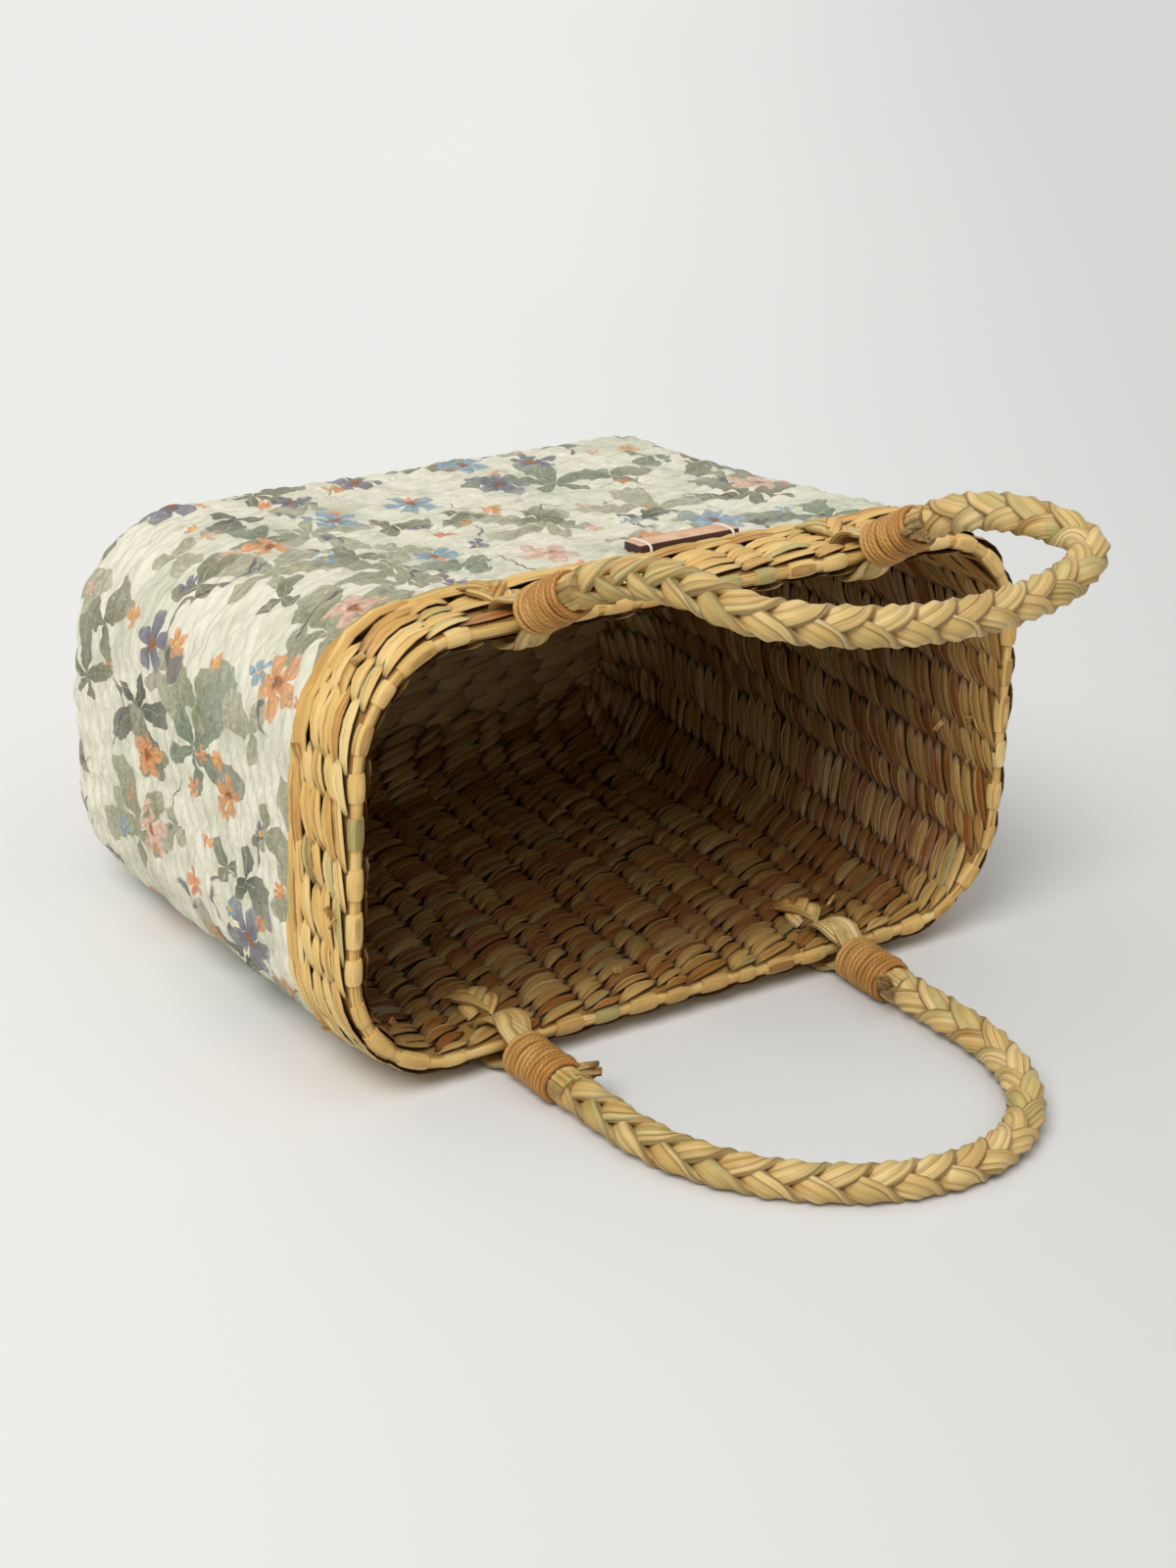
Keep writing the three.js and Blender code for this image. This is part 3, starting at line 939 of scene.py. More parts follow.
@dataclass(frozen=True)
class PrintFinish:
    """Cream cloth with a loose painted print of leaf sprays and small blossoms."""

    leaves: tuple[SprigLayer, ...]
    blossoms: tuple[SprigLayer, ...]
    name: str = "printed_cloth"
    ground: Colour = srgb(230, 226, 204)
    wash: Colour = srgb(200, 200, 174)
    stem: Colour = srgb(92, 84, 84)
    scatter: float = 0.72
    shift_share: float = 0.7
    size_spread: float = 0.5
    size_least: float = 0.72
    outline: Span = (-0.0002, 0.0006)
    hue_spin: float = 7.31
    fade: float = 0.35
    brush: Triple = (420.0, 420.0, 1.0)
    brush_marks: Stops = ((0.3, (0.5, 0.5, 0.5, 1.0)), (0.68, (1.15, 1.15, 1.12, 1.0)))
    brush_share: float = 0.75
    rib_span: Span = (0.0002, 0.0006)
    heart_span: Span = (0.16, 0.26)
    wear_span: Span = (0.16, 0.42)
    paint_share: float = 0.94
    waver: float = 95.0
    waver_reach: float = 0.009
    cloud: float = 26.0
    cloud_span: Span = (0.42, 0.78)
    twig: float = 15.0
    twig_span: Span = (0.003, 0.009)
    twig_patch: float = 31.0
    twig_patch_span: Span = (0.5, 0.56)
    twig_share: float = 0.8
    weave: Triple = (1500.0, 1500.0, 1.0)
    weave_marks: Stops = ((0.3, (0.7, 0.7, 0.68, 1.0)), (0.7, WHITE))
    weave_share: float = 0.22
    leaf: Triple = (46.0, 440.0, 1.0)
    leaf_lines: Stops = ((0.34, (0.66, 0.66, 0.62, 1.0)), (0.54, WHITE))
    leaf_share: float = 0.6
    leaf_height: float = 1.1
    crease: float = 210.0
    fold: Triple = (52.0, 120.0, 1.0)
    fold_height: float = 2.2
    roughness: float = 0.5
    sheen: float = 0.3
    relief: Span = (0.6, 0.0016)

    def sprigs(self, sheet: NodeSheet, place: Socket, colour: Socket, layer: SprigLayer) -> Socket:
        """Paint one layer over the colour below it.

        Args:
            sheet: The material's nodes.
            place: Cloth coordinates, already wavered.
            colour: Colour below.
            layer: What to paint.

        Returns:
            The painted colour.
        """
        shifted = sheet.vector("ADD", place, (layer.seed, layer.seed * self.shift_share, 0.0))
        cells = sheet.node("ShaderNodeTexVoronoi", voronoi_dimensions="2D")
        cells.inputs["Scale"].default_value = 1.0 / layer.spacing
        cells.inputs["Randomness"].default_value = self.scatter
        sheet.feed(shifted, cells.inputs["Vector"])
        chance, hue, turn = sheet.split(cells.outputs["Color"])
        spun = sheet.node("ShaderNodeVectorRotate", rotation_type="Z_AXIS")
        sheet.feed(sheet.vector("SUBTRACT", shifted, cells.outputs["Position"]), spun.inputs["Vector"])
        sheet.feed(sheet.times(turn, TAU), spun.inputs["Angle"])
        x, y, _ = sheet.split(spun.outputs["Vector"])
        far = sheet.vector("LENGTH", spun.outputs["Vector"], (0.0, 0.0, 0.0))
        angle = sheet.math("ARCTAN2", y, x)
        half_turn = sheet.times(angle, layer.petals / 2)
        lobe = sheet.math("POWER", sheet.math("ABSOLUTE", sheet.math("COSINE", half_turn)), layer.slimness)
        lean = sheet.affine(sheet.math("COSINE", angle), layer.lopsided, 1.0 - layer.lopsided)
        reach = sheet.times(sheet.times(lobe, lean), layer.radius)
        reach = sheet.times(reach, sheet.affine(hue, self.size_spread, self.size_least))
        mask = sheet.step(sheet.math("SUBTRACT", reach, far), *self.outline)
        mask = sheet.times(mask, sheet.math("LESS_THAN", chance, layer.presence))
        stops = tuple((number / len(layer.colours), tint) for number, tint in enumerate(layer.colours))
        paint = sheet.ramp(sheet.math("FRACT", sheet.times(hue, self.hue_spin)), stops, flat=True)
        inner = sheet.math("DIVIDE", far, layer.radius, clamp=True)
        paint = sheet.mix(sheet.times(inner, self.fade), paint, self.ground)
        brush = sheet.noise(place, self.brush, 3.0)
        paint = sheet.mix(self.brush_share, paint, sheet.ramp(brush, self.brush_marks), "MULTIPLY")
        if layer.rib:
            side = sheet.times(sheet.math("ABSOLUTE", sheet.math("SINE", half_turn)), far)
            rib = sheet.inverse(sheet.step(side, *self.rib_span))
            paint = sheet.mix(sheet.times(rib, layer.rib), paint, self.wash)
        if layer.heart is not None:
            heart = sheet.inverse(sheet.step(far, *(share * layer.radius for share in self.heart_span)))
            paint = sheet.mix(heart, paint, layer.heart)
        wear = sheet.times(mask, sheet.step(brush, *self.wear_span))
        return sheet.mix(sheet.times(wear, self.paint_share), colour, paint)

    def make(self) -> Material:
        """Wire the material.

        Returns:
            The material.
        """
        sheet = NodeSheet(self.name)
        cloth = sheet.grain()
        waver = sheet.noise(cloth, self.waver).node.outputs["Color"]
        shift = sheet.vector("SUBTRACT", waver, (0.5, 0.5, 0.5))
        place = sheet.vector("ADD", cloth, sheet.vector("MULTIPLY", shift, (self.waver_reach,) * 3))
        cloud = sheet.noise(cloth, self.cloud, 4.0)
        colour = sheet.mix(sheet.step(cloud, *self.cloud_span), self.ground, self.wash)
        for layer in self.leaves:
            colour = self.sprigs(sheet, place, colour, layer)
        twig = sheet.math("ABSOLUTE", sheet.math("SUBTRACT", sheet.noise(place, self.twig, 1.0), 0.5))
        twig = sheet.inverse(sheet.step(twig, *self.twig_span))
        patch = sheet.step(sheet.noise(cloth, self.twig_patch, 1.0), *self.twig_patch_span)
        twig = sheet.times(sheet.times(twig, patch), self.twig_share)
        colour = sheet.mix(twig, colour, self.stem)
        for layer in self.blossoms:
            colour = self.sprigs(sheet, place, colour, layer)
        weave = sheet.ramp(sheet.noise(cloth, self.weave, 2.0), self.weave_marks)
        colour = sheet.mix(self.weave_share, colour, weave, "MULTIPLY")
        leaf = sheet.noise(place, self.leaf, 3.0)
        colour = sheet.mix(self.leaf_share, colour, sheet.ramp(leaf, self.leaf_lines), "MULTIPLY")
        sheet.surface(colour, self.roughness, self.sheen)
        fold = sheet.math("SUBTRACT", sheet.noise(cloth, self.fold, 3.0), 0.5)
        fold = sheet.times(sheet.math("ABSOLUTE", fold), self.fold_height)
        relief = sheet.math("ADD", sheet.noise(cloth, self.crease, 3.0), fold)
        relief = sheet.math("ADD", relief, sheet.times(leaf, self.leaf_height))
        sheet.bump(relief, *self.relief)
        return sheet.material


@dataclass(frozen=True)
class LeatherFinish:
    """Vegetable-tanned leather: tan face, dark burnished edge, fine grain."""

    name: str = "tan_leather"
    face: Colour = srgb(226, 182, 144)
    mottle: Colour = srgb(206, 156, 118)
    edge: Colour = srgb(58, 32, 26)
    pores: float = 1300.0
    patch: float = 160.0
    patch_span: Span = (0.3, 0.75)
    roughness: float = 0.52
    relief: Span = (0.35, 0.0003)

    def make(self) -> Material:
        """Wire the material.

        Returns:
            The material.
        """
        sheet = NodeSheet(self.name)
        place = sheet.place()
        rim, _, _ = sheet.tone()
        pores = sheet.node("ShaderNodeTexVoronoi")
        pores.inputs["Scale"].default_value = self.pores
        sheet.feed(place, pores.inputs["Vector"])
        patch = sheet.step(sheet.noise(place, self.patch, 3.0), *self.patch_span)
        colour = sheet.mix(rim, sheet.mix(patch, self.face, self.mottle), self.edge)
        sheet.surface(colour, self.roughness)
        sheet.bump(pores.outputs["Distance"], *self.relief)
        return sheet.material


@dataclass(frozen=True)
class ThreadFinish:
    """Off-white sewing thread with a fine twist."""

    name: str = "sewing_thread"
    light: Colour = srgb(238, 233, 220)
    dark: Colour = srgb(205, 198, 180)
    fuzz: float = 2600.0
    fuzz_span: Span = (0.3, 0.7)
    roughness: float = 0.8
    relief: Span = (0.5, 0.0002)

    def make(self) -> Material:
        """Wire the material.

        Returns:
            The material.
        """
        sheet = NodeSheet(self.name)
        fuzz = sheet.noise(sheet.place(), self.fuzz, 2.0)
        colour = sheet.mix(sheet.step(fuzz, *self.fuzz_span), self.dark, self.light)
        sheet.surface(colour, self.roughness)
        sheet.bump(fuzz, *self.relief)
        return sheet.material


STRAW = (
    (0.0, srgb(172, 108, 48)),
    (0.3, srgb(210, 164, 90)),
    (0.6, srgb(230, 190, 114)),
    (1.0, srgb(242, 214, 148)),
)
PALE_STRAW = (
    (0.0, srgb(184, 142, 78)),
    (0.35, srgb(211, 175, 107)),
    (0.7, srgb(226, 195, 129)),
    (1.0, srgb(240, 212, 156)),
)
LEAF_TINTS = (
    srgb(116, 116, 84), srgb(146, 146, 112), srgb(76, 80, 66), srgb(114, 128, 104), srgb(170, 168, 138),
)
BLOSSOM_TINTS = (
    srgb(226, 146, 74), srgb(228, 178, 156), srgb(226, 132, 60), srgb(120, 156, 180), srgb(86, 86, 116),
)
WOVEN_REED = ReedFinish("woven_reed", STRAW, srgb(170, 166, 106), srgb(52, 30, 14))
PLAITED_REED = ReedFinish("plaited_reed", PALE_STRAW, srgb(172, 172, 104), srgb(64, 42, 18), roughness=0.46)
PRINT = PrintFinish(
    leaves=(
        SprigLayer(
            spacing=0.070, radius=0.044, petals=5.0, slimness=1.2, lopsided=0.32, presence=0.92, seed=3.1,
            colours=LEAF_TINTS, rib=0.5,
        ),
        SprigLayer(
            spacing=0.040, radius=0.0235, petals=3.0, slimness=1.1, lopsided=0.3, presence=0.8, seed=7.7,
            colours=LEAF_TINTS, rib=0.4,
        ),
    ),
    blossoms=(
        SprigLayer(
            spacing=0.050, radius=0.0145, petals=5.0, slimness=0.45, lopsided=0.06, presence=0.55, seed=12.3,
            colours=BLOSSOM_TINTS, heart=srgb(150, 92, 48),
        ),
        SprigLayer(
            spacing=0.021, radius=0.0056, petals=5.0, slimness=0.5, lopsided=0.05, presence=0.34, seed=21.9,
            colours=BLOSSOM_TINTS, heart=srgb(222, 178, 84),
        ),
    ),
)


# Strands that follow a path


def grid_grain(along: Array, across: Array) -> Array:
    """Distances along and across for every point of a grid."""
    return np.stack(np.meshgrid(along, across, indexing="ij"), axis=-1)


def sweep(sheaf: Sheaf, path: Array, radius: float, sides: int, tone: Array) -> None:
    """Sweep a round section along a path and add it to a sheaf.

    Args:
        sheaf: Where to add it.
        path: Points of the middle line.
        radius: Radius of the section.
        sides: Sides of the section.
        tone: Tones at the points of the path.
    """
    ahead = unit(np.gradient(path, axis=0))
    side = np.cross(ahead[0], SIDEWAYS)
    sides_at = []
    for direction in ahead:
        side = side - direction * (side @ direction)
        side = side / np.linalg.norm(side)
        sides_at.append(side)
    first = np.array(sides_at)
    second = np.cross(ahead, first)
    around = np.arange(sides) * TAU / sides
    offset = first[:, None] * np.cos(around)[None, :, None]
    offset = offset + second[:, None] * np.sin(around)[None, :, None]
    grain = grid_grain(run_along(path), around / TAU)
    sheaf.add_grid(path[:, None] + offset * radius, grain, np.repeat(tone[:, None], sides, 1), (False, True))


@dataclass(frozen=True)
class Bundle:
    """A flattened bundle of reed strips that is swept along a path."""

    half: Span
    strips: int = 6
    joints: int = 7
    shade: Span = (0.56, 0.16)
    green_from: float = 0.8
    green: Span = (0.2, 0.6)
    seam_jitter: float = 0.3
    groove: Span = (0.88, 0.14)
    flatness: float = 0.8
    flutter: float = 0.05
    flutter_run: float = 0.0031
    far_end_dimming: float = 0.6
    far_end_dark: float = 0.45
    # Painted shade in the grooves between strips and along the bundle's thin sides.
    painted_groove_shade: float = 0.4
    painted_groove_reach: float = 0.4
    painted_side_shade: float = 0.4
    edge_from: float = 0.78
    darkest: float = 0.9

    def tones(self, rng: np.random.Generator, run: Array) -> Array:
        """Tones of the strips along the bundle, changing where new reed is laid in.

        Args:
            rng: Source of the small differences.
            run: Distances along the bundle.

        Returns:
            Points along by strips by 4.
        """
        tone = np.zeros((len(run), self.strips, 4))
        parts = self.joints + 1
        for strip in range(self.strips):
            joints = np.sort(rng.uniform(0.0, run[-1], self.joints))
            part = np.searchsorted(joints, run)
            tone[:, strip, 0] = rng.normal(*self.shade, parts)[part]
            greenish = rng.random(parts) > self.green_from
            tone[:, strip, 1] = np.where(greenish, rng.uniform(*self.green, parts), 0.0)[part]
        return tone

    def sweep(self, sheaf: Sheaf, path: Array, normal: Array, seed: int, aged: float = 0.0) -> None:
        """Sweep the bundle along a path.

        Args:
            sheaf: Where to add it.
            path: Points of the bundle's middle.
            normal: Direction of its thickness at each point.
            seed: Seed of its tones.
            aged: How much darker and browner its far end is; on the inside tucks this is partly painted shade.
        """
        rng = draws(seed)
        run = run_along(path)
        ahead = unit(np.gradient(path, axis=0))
        wide = unit(np.cross(normal, ahead))
        thick = np.cross(ahead, wide)
        strips, sides = self.strips, 4 * self.strips
        turn = np.arange(sides) / sides
        around = turn * TAU
        seams = (np.arange(strips) + rng.uniform(-self.seam_jitter, self.seam_jitter, strips)) / strips % 1.0
        from_seam = np.abs((turn[:, None] - seams[None, :] + 0.5) % 1.0 - 0.5)
        strip = np.searchsorted(np.sort(seams), turn) % strips
        gap = np.clip(from_seam.min(axis=1) * strips * 2, 0.0, 1.0)
        groove = self.groove[0] + self.groove[1] * np.sqrt(1.0 - (1.0 - gap) ** 2)
        section_x = self.half[0] * np.cos(around) * groove
        flat = np.sign(np.sin(around)) * np.abs(np.sin(around)) ** self.flatness
        section_y = self.half[1] * flat * groove
        waves = np.sin(run / self.flutter_run + seed)[:, None] * np.sin(3 * around + seed)[None, :]
        flutter = 1.0 + self.flutter * waves
        points = (
            path[:, None]
            + wide[:, None] * (section_x[None] * flutter)[..., None]
            + thick[:, None] * (section_y[None] * flutter)[..., None]
        )
        tone = self.tones(rng, run)[:, strip]
        worn = aged * (run / run[-1])[:, None]
        tone[..., 0] -= self.far_end_dimming * worn
        # Painted shade: grooves between strips and the bundle's sides darkened.
        dark = self.painted_groove_shade * (1.0 - smooth(gap, 0.0, self.painted_groove_reach))
        dark = dark + self.painted_side_shade * smooth(np.abs(np.cos(around)), self.edge_from, 1.0)
        tone[..., 2] = np.minimum(dark[None, :] + self.far_end_dark * worn, self.darkest)
        arc = np.cumsum(np.full(sides, TAU * self.half[0] / sides))
        sheaf.add_grid(points, grid_grain(run + seed, arc), tone, (False, True))


# The basket


@dataclass(frozen=True)
class LeafTone:
    """Tones of the leaves on one face: their shade, green ones, painted shade on the tucked tips, and painted
    shade of depth and of the whole face.
    """

    shade: float
    dark: float
    shade_jitter: float = 0.15
    strip_spread: float = 0.42
    painted_depth_dimming: float = 0.32
    green: float = 0.6
    green_from: float = 0.93
    painted_tip_shade: float = 0.45
    tip_span: Span = (0.34, 0.5)
    painted_depth_shade: float = 0.62
    darkest: float = 0.95

    def paint(self, shape: Pattern, fleck: float, shades: Array, deep: float = 0.0) -> Array:
        """Tones of one copy of a stitch.

        Args:
            shape: The stitch.
            fleck: How this copy differs from the others.
            shades: Draws for its strips.
            deep: How much painted shade it takes from lying deep inside the basket.

        Returns:
            One row of tones for each point.
        """
        tone = np.zeros((len(shape.points), 4))
        own = shades[shape.strand]
        # Painted shade: leaves deep inside are dimmed here and darkened below.
        base = self.shade + self.shade_jitter * fleck - self.painted_depth_dimming * deep
        tone[:, 0] = base + self.strip_spread * (own - 0.5)
        tone[:, 1] = np.where(own > self.green_from, self.green, 0.0)
        # Painted shade: tips darkened where they tuck under the next row, plus the face's own painted shade and
        # that of depth.
        tips = smooth(np.abs(shape.points[:, 0]), *self.tip_span)
        tone[:, 2] = np.minimum(self.painted_tip_shade * tips + self.painted_depth_shade * deep + self.dark, self.darkest)
        tone[:, 3] = shape.side
        return tone


# The inside face takes a browner straw tone and a small dark share that is painted shade of the interior.
WALL_TONES = {Face.OUTSIDE: LeafTone(shade=0.54, dark=0.0), Face.INSIDE: LeafTone(shade=0.42, dark=0.08)}
UNDERSIDE_TONE = LeafTone(
    shade=0.45, dark=0.0, shade_jitter=0.13, strip_spread=0.26, green=0.0, painted_tip_shade=0.35, tip_span=(0.36, 0.5)
)
# The base's inner face is darkened throughout by painted shade, as it lies deepest inside.
BASE_TONES = {Face.OUTSIDE: UNDERSIDE_TONE, Face.INSIDE: replace(UNDERSIDE_TONE, dark=0.52)}
# Far ends of the tucks darker and browner: wear on the outside face, with painted shade of the interior added on
# the inside face.
TUCK_WEAR_AND_SHADE = {Face.OUTSIDE: 0.3, Face.INSIDE: 0.8}
# Name, strength of the painted shade deep inside, and where each piece of the inner weave starts and ends round
# the wall.
QUARTERS = (
    ("inner_weave_lower", 0.98, -0.17, 0.17),
    ("inner_weave_right", 0.76, 0.17, 0.33),
    ("inner_weave_upper", 0.60, 0.33, 0.67),
    ("inner_weave_left", 0.50, 0.67, 0.83),
)


@dataclass
class WovenPart:
    """What every woven part is laid on."""

    wall: WallShape
    places: HandlePlaces
    axes: StandingFrame


@dataclass
class StitchWork(WovenPart):
    """Rows of woven stitches: strips that ride over the stakes, drawn once and copied over the wall."""

    pairs: int = 25
    wide_share: float = 0.59
    row_pitch: float = 0.0061
    stretch: float = 1.42
    arch: float = 0.0036
    sunk: float = 0.0012
    rise: float = 0.0076
    stations: int = 6
    step: float = 0.00028
    tip: float = 0.2
    wide_strips: tuple[float, ...] = (0.0052, 0.0044, 0.0036, 0.0034)
    slim_strips: tuple[float, ...] = (0.0048, 0.0040, 0.0034)
    wide_spread: float = 0.0052
    slim_spread: float = 0.0044
    slim_height: float = 0.85
    length: float = 1.0
    strip_thickness: float = 0.0010
    stagger: float = 0.0
    drift: float = 0.05
    turn_jitter: float = 0.0008
    length_jitter: float = 0.07
    width_jitter: float = 0.08
    shift_jitter: float = 0.0004
    height_jitter: float = 0.14
    rim_hug: float = 0.55
    hug_span: Span = (0.006, 0.02)
    highest: float = 0.0012
    # Painted shade of the inside weave: its strength, where it starts and is full, and how much it eases off
    # deeper down.
    inner_painted_shade: float = 1.0
    inner_painted_shade_from: float = -0.020
    inner_painted_shade_full: float = 0.040
    inner_painted_shade_ease: float = 0.28
    ease_span: Span = (0.06, 0.14)
    eye_keep_off: float = 0.0138
    eye_depths: Triple = (0.0115, 0.0185, 0.033)
    room_over_eye: float = 0.3
    room_under_eye: float = 0.42

    def strand(self, number: int, count: int, width: float, spread: float) -> Pattern:
        """Draw one strip of a stitch, a unit long and arched over the stake.

        Args:
            number: Which strip, from the one on top.
            count: How many strips the stitch has.
            width: Strip width.
            spread: Distance between the first and the last strip at the middle.

        Returns:
            The strip.
        """
        offset = (number / (count - 1) - 0.5) * spread

        def station(share: float) -> tuple[float, ...]:
            """Width, thickness, shift across and rise at a share of the length."""
            swell = math.sin(math.pi * min(max(share, 0.02), 0.98))
            crescent = self.rise * (1.0 - (1.0 - share) ** 1.8 - 0.5)
            lay = self.arch * (swell**0.62) - self.sunk + self.step * (count - 1 - number) * swell
            girth = width * (self.tip + (1.0 - self.tip) * swell**0.65)
            return girth, self.strip_thickness, crescent + offset * swell**0.8, lay

        return draw_strand(3, self.stations, station)

    def stitch(self, widths: Sequence[float], spread: float) -> Pattern:
        """Draw one stitch from the widths of its strips, the one on top first, and their spread."""
        count = len(widths)
        return gather([self.strand(number, count, width, spread) for number, width in enumerate(widths)])

    def columns(self) -> list[tuple[float, float, bool]]:
        """Middle turn, width and kind of each column of stitches round the wall.

        Returns:
            Turn, width in metres and whether the column is a wide one.
        """
        pair = 1.0 / self.pairs
        wide = pair * self.wide_share * self.wall.girth
        slim = pair * (1 - self.wide_share) * self.wall.girth
        made = []
        for number in range(self.pairs):
            start = number * pair
            made.append((start + pair * self.wide_share / 2, wide, True))
            made.append((start + pair * (1 + self.wide_share) / 2, slim, False))
        return made

    def painted_shade_at_depth(self, down: float) -> float:
        """How much painted shade the inside takes at a distance from the rim."""
        near = smooth(np.array(down), self.inner_painted_shade_from, self.inner_painted_shade_full)
        return self.inner_painted_shade * float(near - self.inner_painted_shade_ease * smooth(np.array(down), *self.ease_span))

    def room(self, turn: float, down: float) -> float:
        """Share of its height that a stitch has before it meets a handle's eye, 0 where it is left out.

        Args:
            turn: Share of the way round.
            down: Distance from the rim.

        Returns:
            From 0 to 1.
        """
        over, slot, under = self.eye_depths
        gaps = (abs((turn - eye + 0.5) % 1.0 - 0.5) for eye in self.places.eye_turns(self.wall))
        if min(gaps) * self.wall.girth > self.eye_keep_off or down > under:
            return 1.0
        if down < over:
            return self.room_over_eye
        return 0.0 if down < slot else self.room_under_eye

    def lay(self, face: Face, rows: Iterable[float], seed: int, span: Span = (0.0, 1.0)) -> Sheaf:
        """Copy stitches over part of the wall.

        Args:
            face: Which face of the wall they lie on.
            rows: Distances of the rows from the rim.
            seed: Seed of the small differences.
            span: Where the part starts and ends round the wall.

        Returns:
            The gathered stitches.
        """
        rng = draws(seed)
        wide = self.stitch(self.wide_strips, self.wide_spread)
        slim = self.stitch(self.slim_strips, self.slim_spread)
        sheaf = Sheaf()
        outward = face is Face.OUTSIDE
        hand = -1.0 if outward else 1.0
        for row, row_down in enumerate(rows):
            drift = hand * self.drift * row
            for turn, width, is_wide in self.columns():
                jitter = rng.normal(size=6)
                shades = rng.random(8)
                even = (turn + drift / self.pairs / 2) % 1.0
                place = (even + self.turn_jitter * jitter[0]) % 1.0
                down = row_down - (0.0 if is_wide else self.stagger * self.row_pitch)
                room = self.room(place, down)
                if (even - span[0]) % 1.0 >= span[1] - span[0] or room == 0.0:
                    continue
                shape = wide if is_wide else slim
                x, y, z = shape.points.T
                along = x * width * self.stretch * self.length * (1 + self.length_jitter * jitter[1])
                across = y * (1 + self.width_jitter * jitter[2]) + self.shift_jitter * jitter[3]
                near_rim = float(smooth(np.array(down), *self.hug_span))
                hug = room * (self.rim_hug + (1.0 - self.rim_hug) * near_rim)
                height = z * (1 + self.height_jitter * jitter[4])
                height = height * (1.0 if is_wide else self.slim_height) * hug
                turns = place + hand * along / self.wall.girth
                downs = np.clip(down + across, self.highest, None)
                standing = self.wall.at(turns, downs, self.wall.off_face(face, height))
                # Painted shade: the inside face darkens with distance from the rim.
                deep = 0.0 if outward else self.painted_shade_at_depth(down)
                tone = WALL_TONES[face].paint(shape, jitter[5], shades, deep)
                grain = shape.grain(along, shades)
                sheaf.add(self.axes.settled(standing), shape.corners, shape.counts, grain, tone)
        return sheaf


@dataclass
class WallCore(WovenPart):
    """The wall's inner body, closed by the base and slotted for the handles' eyes."""

    lift: float = -0.0010
    thickness: float = 0.0060
    sides: int = 112
    rim: float = 0.003
    slot_levels: Span = (0.0135, 0.0193)
    slot_half: float = 0.0108
    slot_from_middle: float = 0.07
    lower_rings: tuple[float, ...] = (0.04, 0.07, 0.11, 0.15, 0.185, 0.211, 0.222, 0.233, 0.244, 0.2581)
    # The core's high darkness is painted shade of the gaps between the stitches; near the mouth it is lifted by
    # painted light.
    shade: Colour = (0.2, 0.0, 0.86, 0.0)
    painted_mouth_light: float = 0.5
    painted_mouth_light_span: Span = (0.19, 0.235)

    def build(self, reed: Material) -> Piece:
        """Model the core: a ring of points extruded down the wall and closed by the base.

        Args:
            reed: Its material.

        Returns:
            The core.
        """
        eyes = self.places.eye_turns(self.wall)
        edges = [eye + side * self.slot_half / self.wall.girth for eye, side in product(eyes, (-1, 1))]
        turns = np.sort(np.concatenate([np.arange(self.sides) / self.sides, np.mod(edges, 1.0)]))
        around = len(turns)
        downs = (self.rim, *self.slot_levels, *self.lower_rings)
        deselect()
        bpy.ops.mesh.primitive_circle_add(vertices=around, radius=0.1)
        piece = bpy.context.object
        piece.name = "wall_core"
        bpy.ops.object.mode_set(mode="EDIT")
        bpy.ops.mesh.select_all(action="SELECT")
        for _ in downs[1:]:
            bpy.ops.mesh.extrude_region_move(TRANSFORM_OT_translate={"value": (0.0, 0.0, -0.01)})
        bpy.ops.mesh.edge_face_add()
        bpy.ops.object.mode_set(mode="OBJECT")
        rings = [self.wall.at(turns, np.full(around, down), np.full(around, self.lift)) for down in downs]
        standing = self.axes.to_world(np.concatenate(rings))
        piece.data.vertices.foreach_set("co", standing.astype(np.float32).ravel())
        activate(piece)
        bpy.ops.object.mode_set(mode="EDIT")
        bpy.ops.mesh.select_all(action="SELECT")
        bpy.ops.mesh.normals_make_consistent(inside=False)
        self.cut_slots(piece)
        bpy.ops.object.mode_set(mode="OBJECT")
        shell = piece.modifiers.new("wall", "SOLIDIFY")
        shell.thickness = self.thickness
        shell.offset = -1.0
        bpy.ops.object.modifier_apply(modifier="wall")
        height = self.axes.to_standing(mesh_points(piece.data))[:, 2]
        # Painted shade, eased by painted light near the mouth.
        tone = np.tile(self.shade, (len(height), 1))
        tone[:, 2] -= self.painted_mouth_light * smooth(height, *self.painted_mouth_light_span)
        keep_tone(piece.data, tone)
        piece.data.uv_layers.new(name="grain")
        piece.data.materials.append(reed)
        smooth_piece(piece, EVEN_ANGLE)
        return piece

    def cut_slots(self, piece: Piece) -> None:
        """Open the slots that the handles' eyes pass through.

        Args:
            piece: The core in edit mode.
        """
        bpy.ops.mesh.select_mode(type="FACE")
        shape = bmesh.from_edit_mesh(piece.data)
        middles = [self.places.from_middle + side * self.places.spread / 2 for side in (-1, 1)]
        top, bottom = self.slot_levels
        for face in shape.faces:
            x, y, z = self.axes.to_standing(np.array(face.calc_center_median())[None])[0]
            level = top < self.wall.height - z < bottom and abs(y) > self.slot_from_middle
            near = min(abs(x - middle) for middle in middles) < self.slot_half
            face.select_set(level and near)
        bmesh.update_edit_mesh(piece.data)
        bpy.ops.mesh.delete(type="FACE")
        bpy.ops.mesh.select_mode(type="VERT")


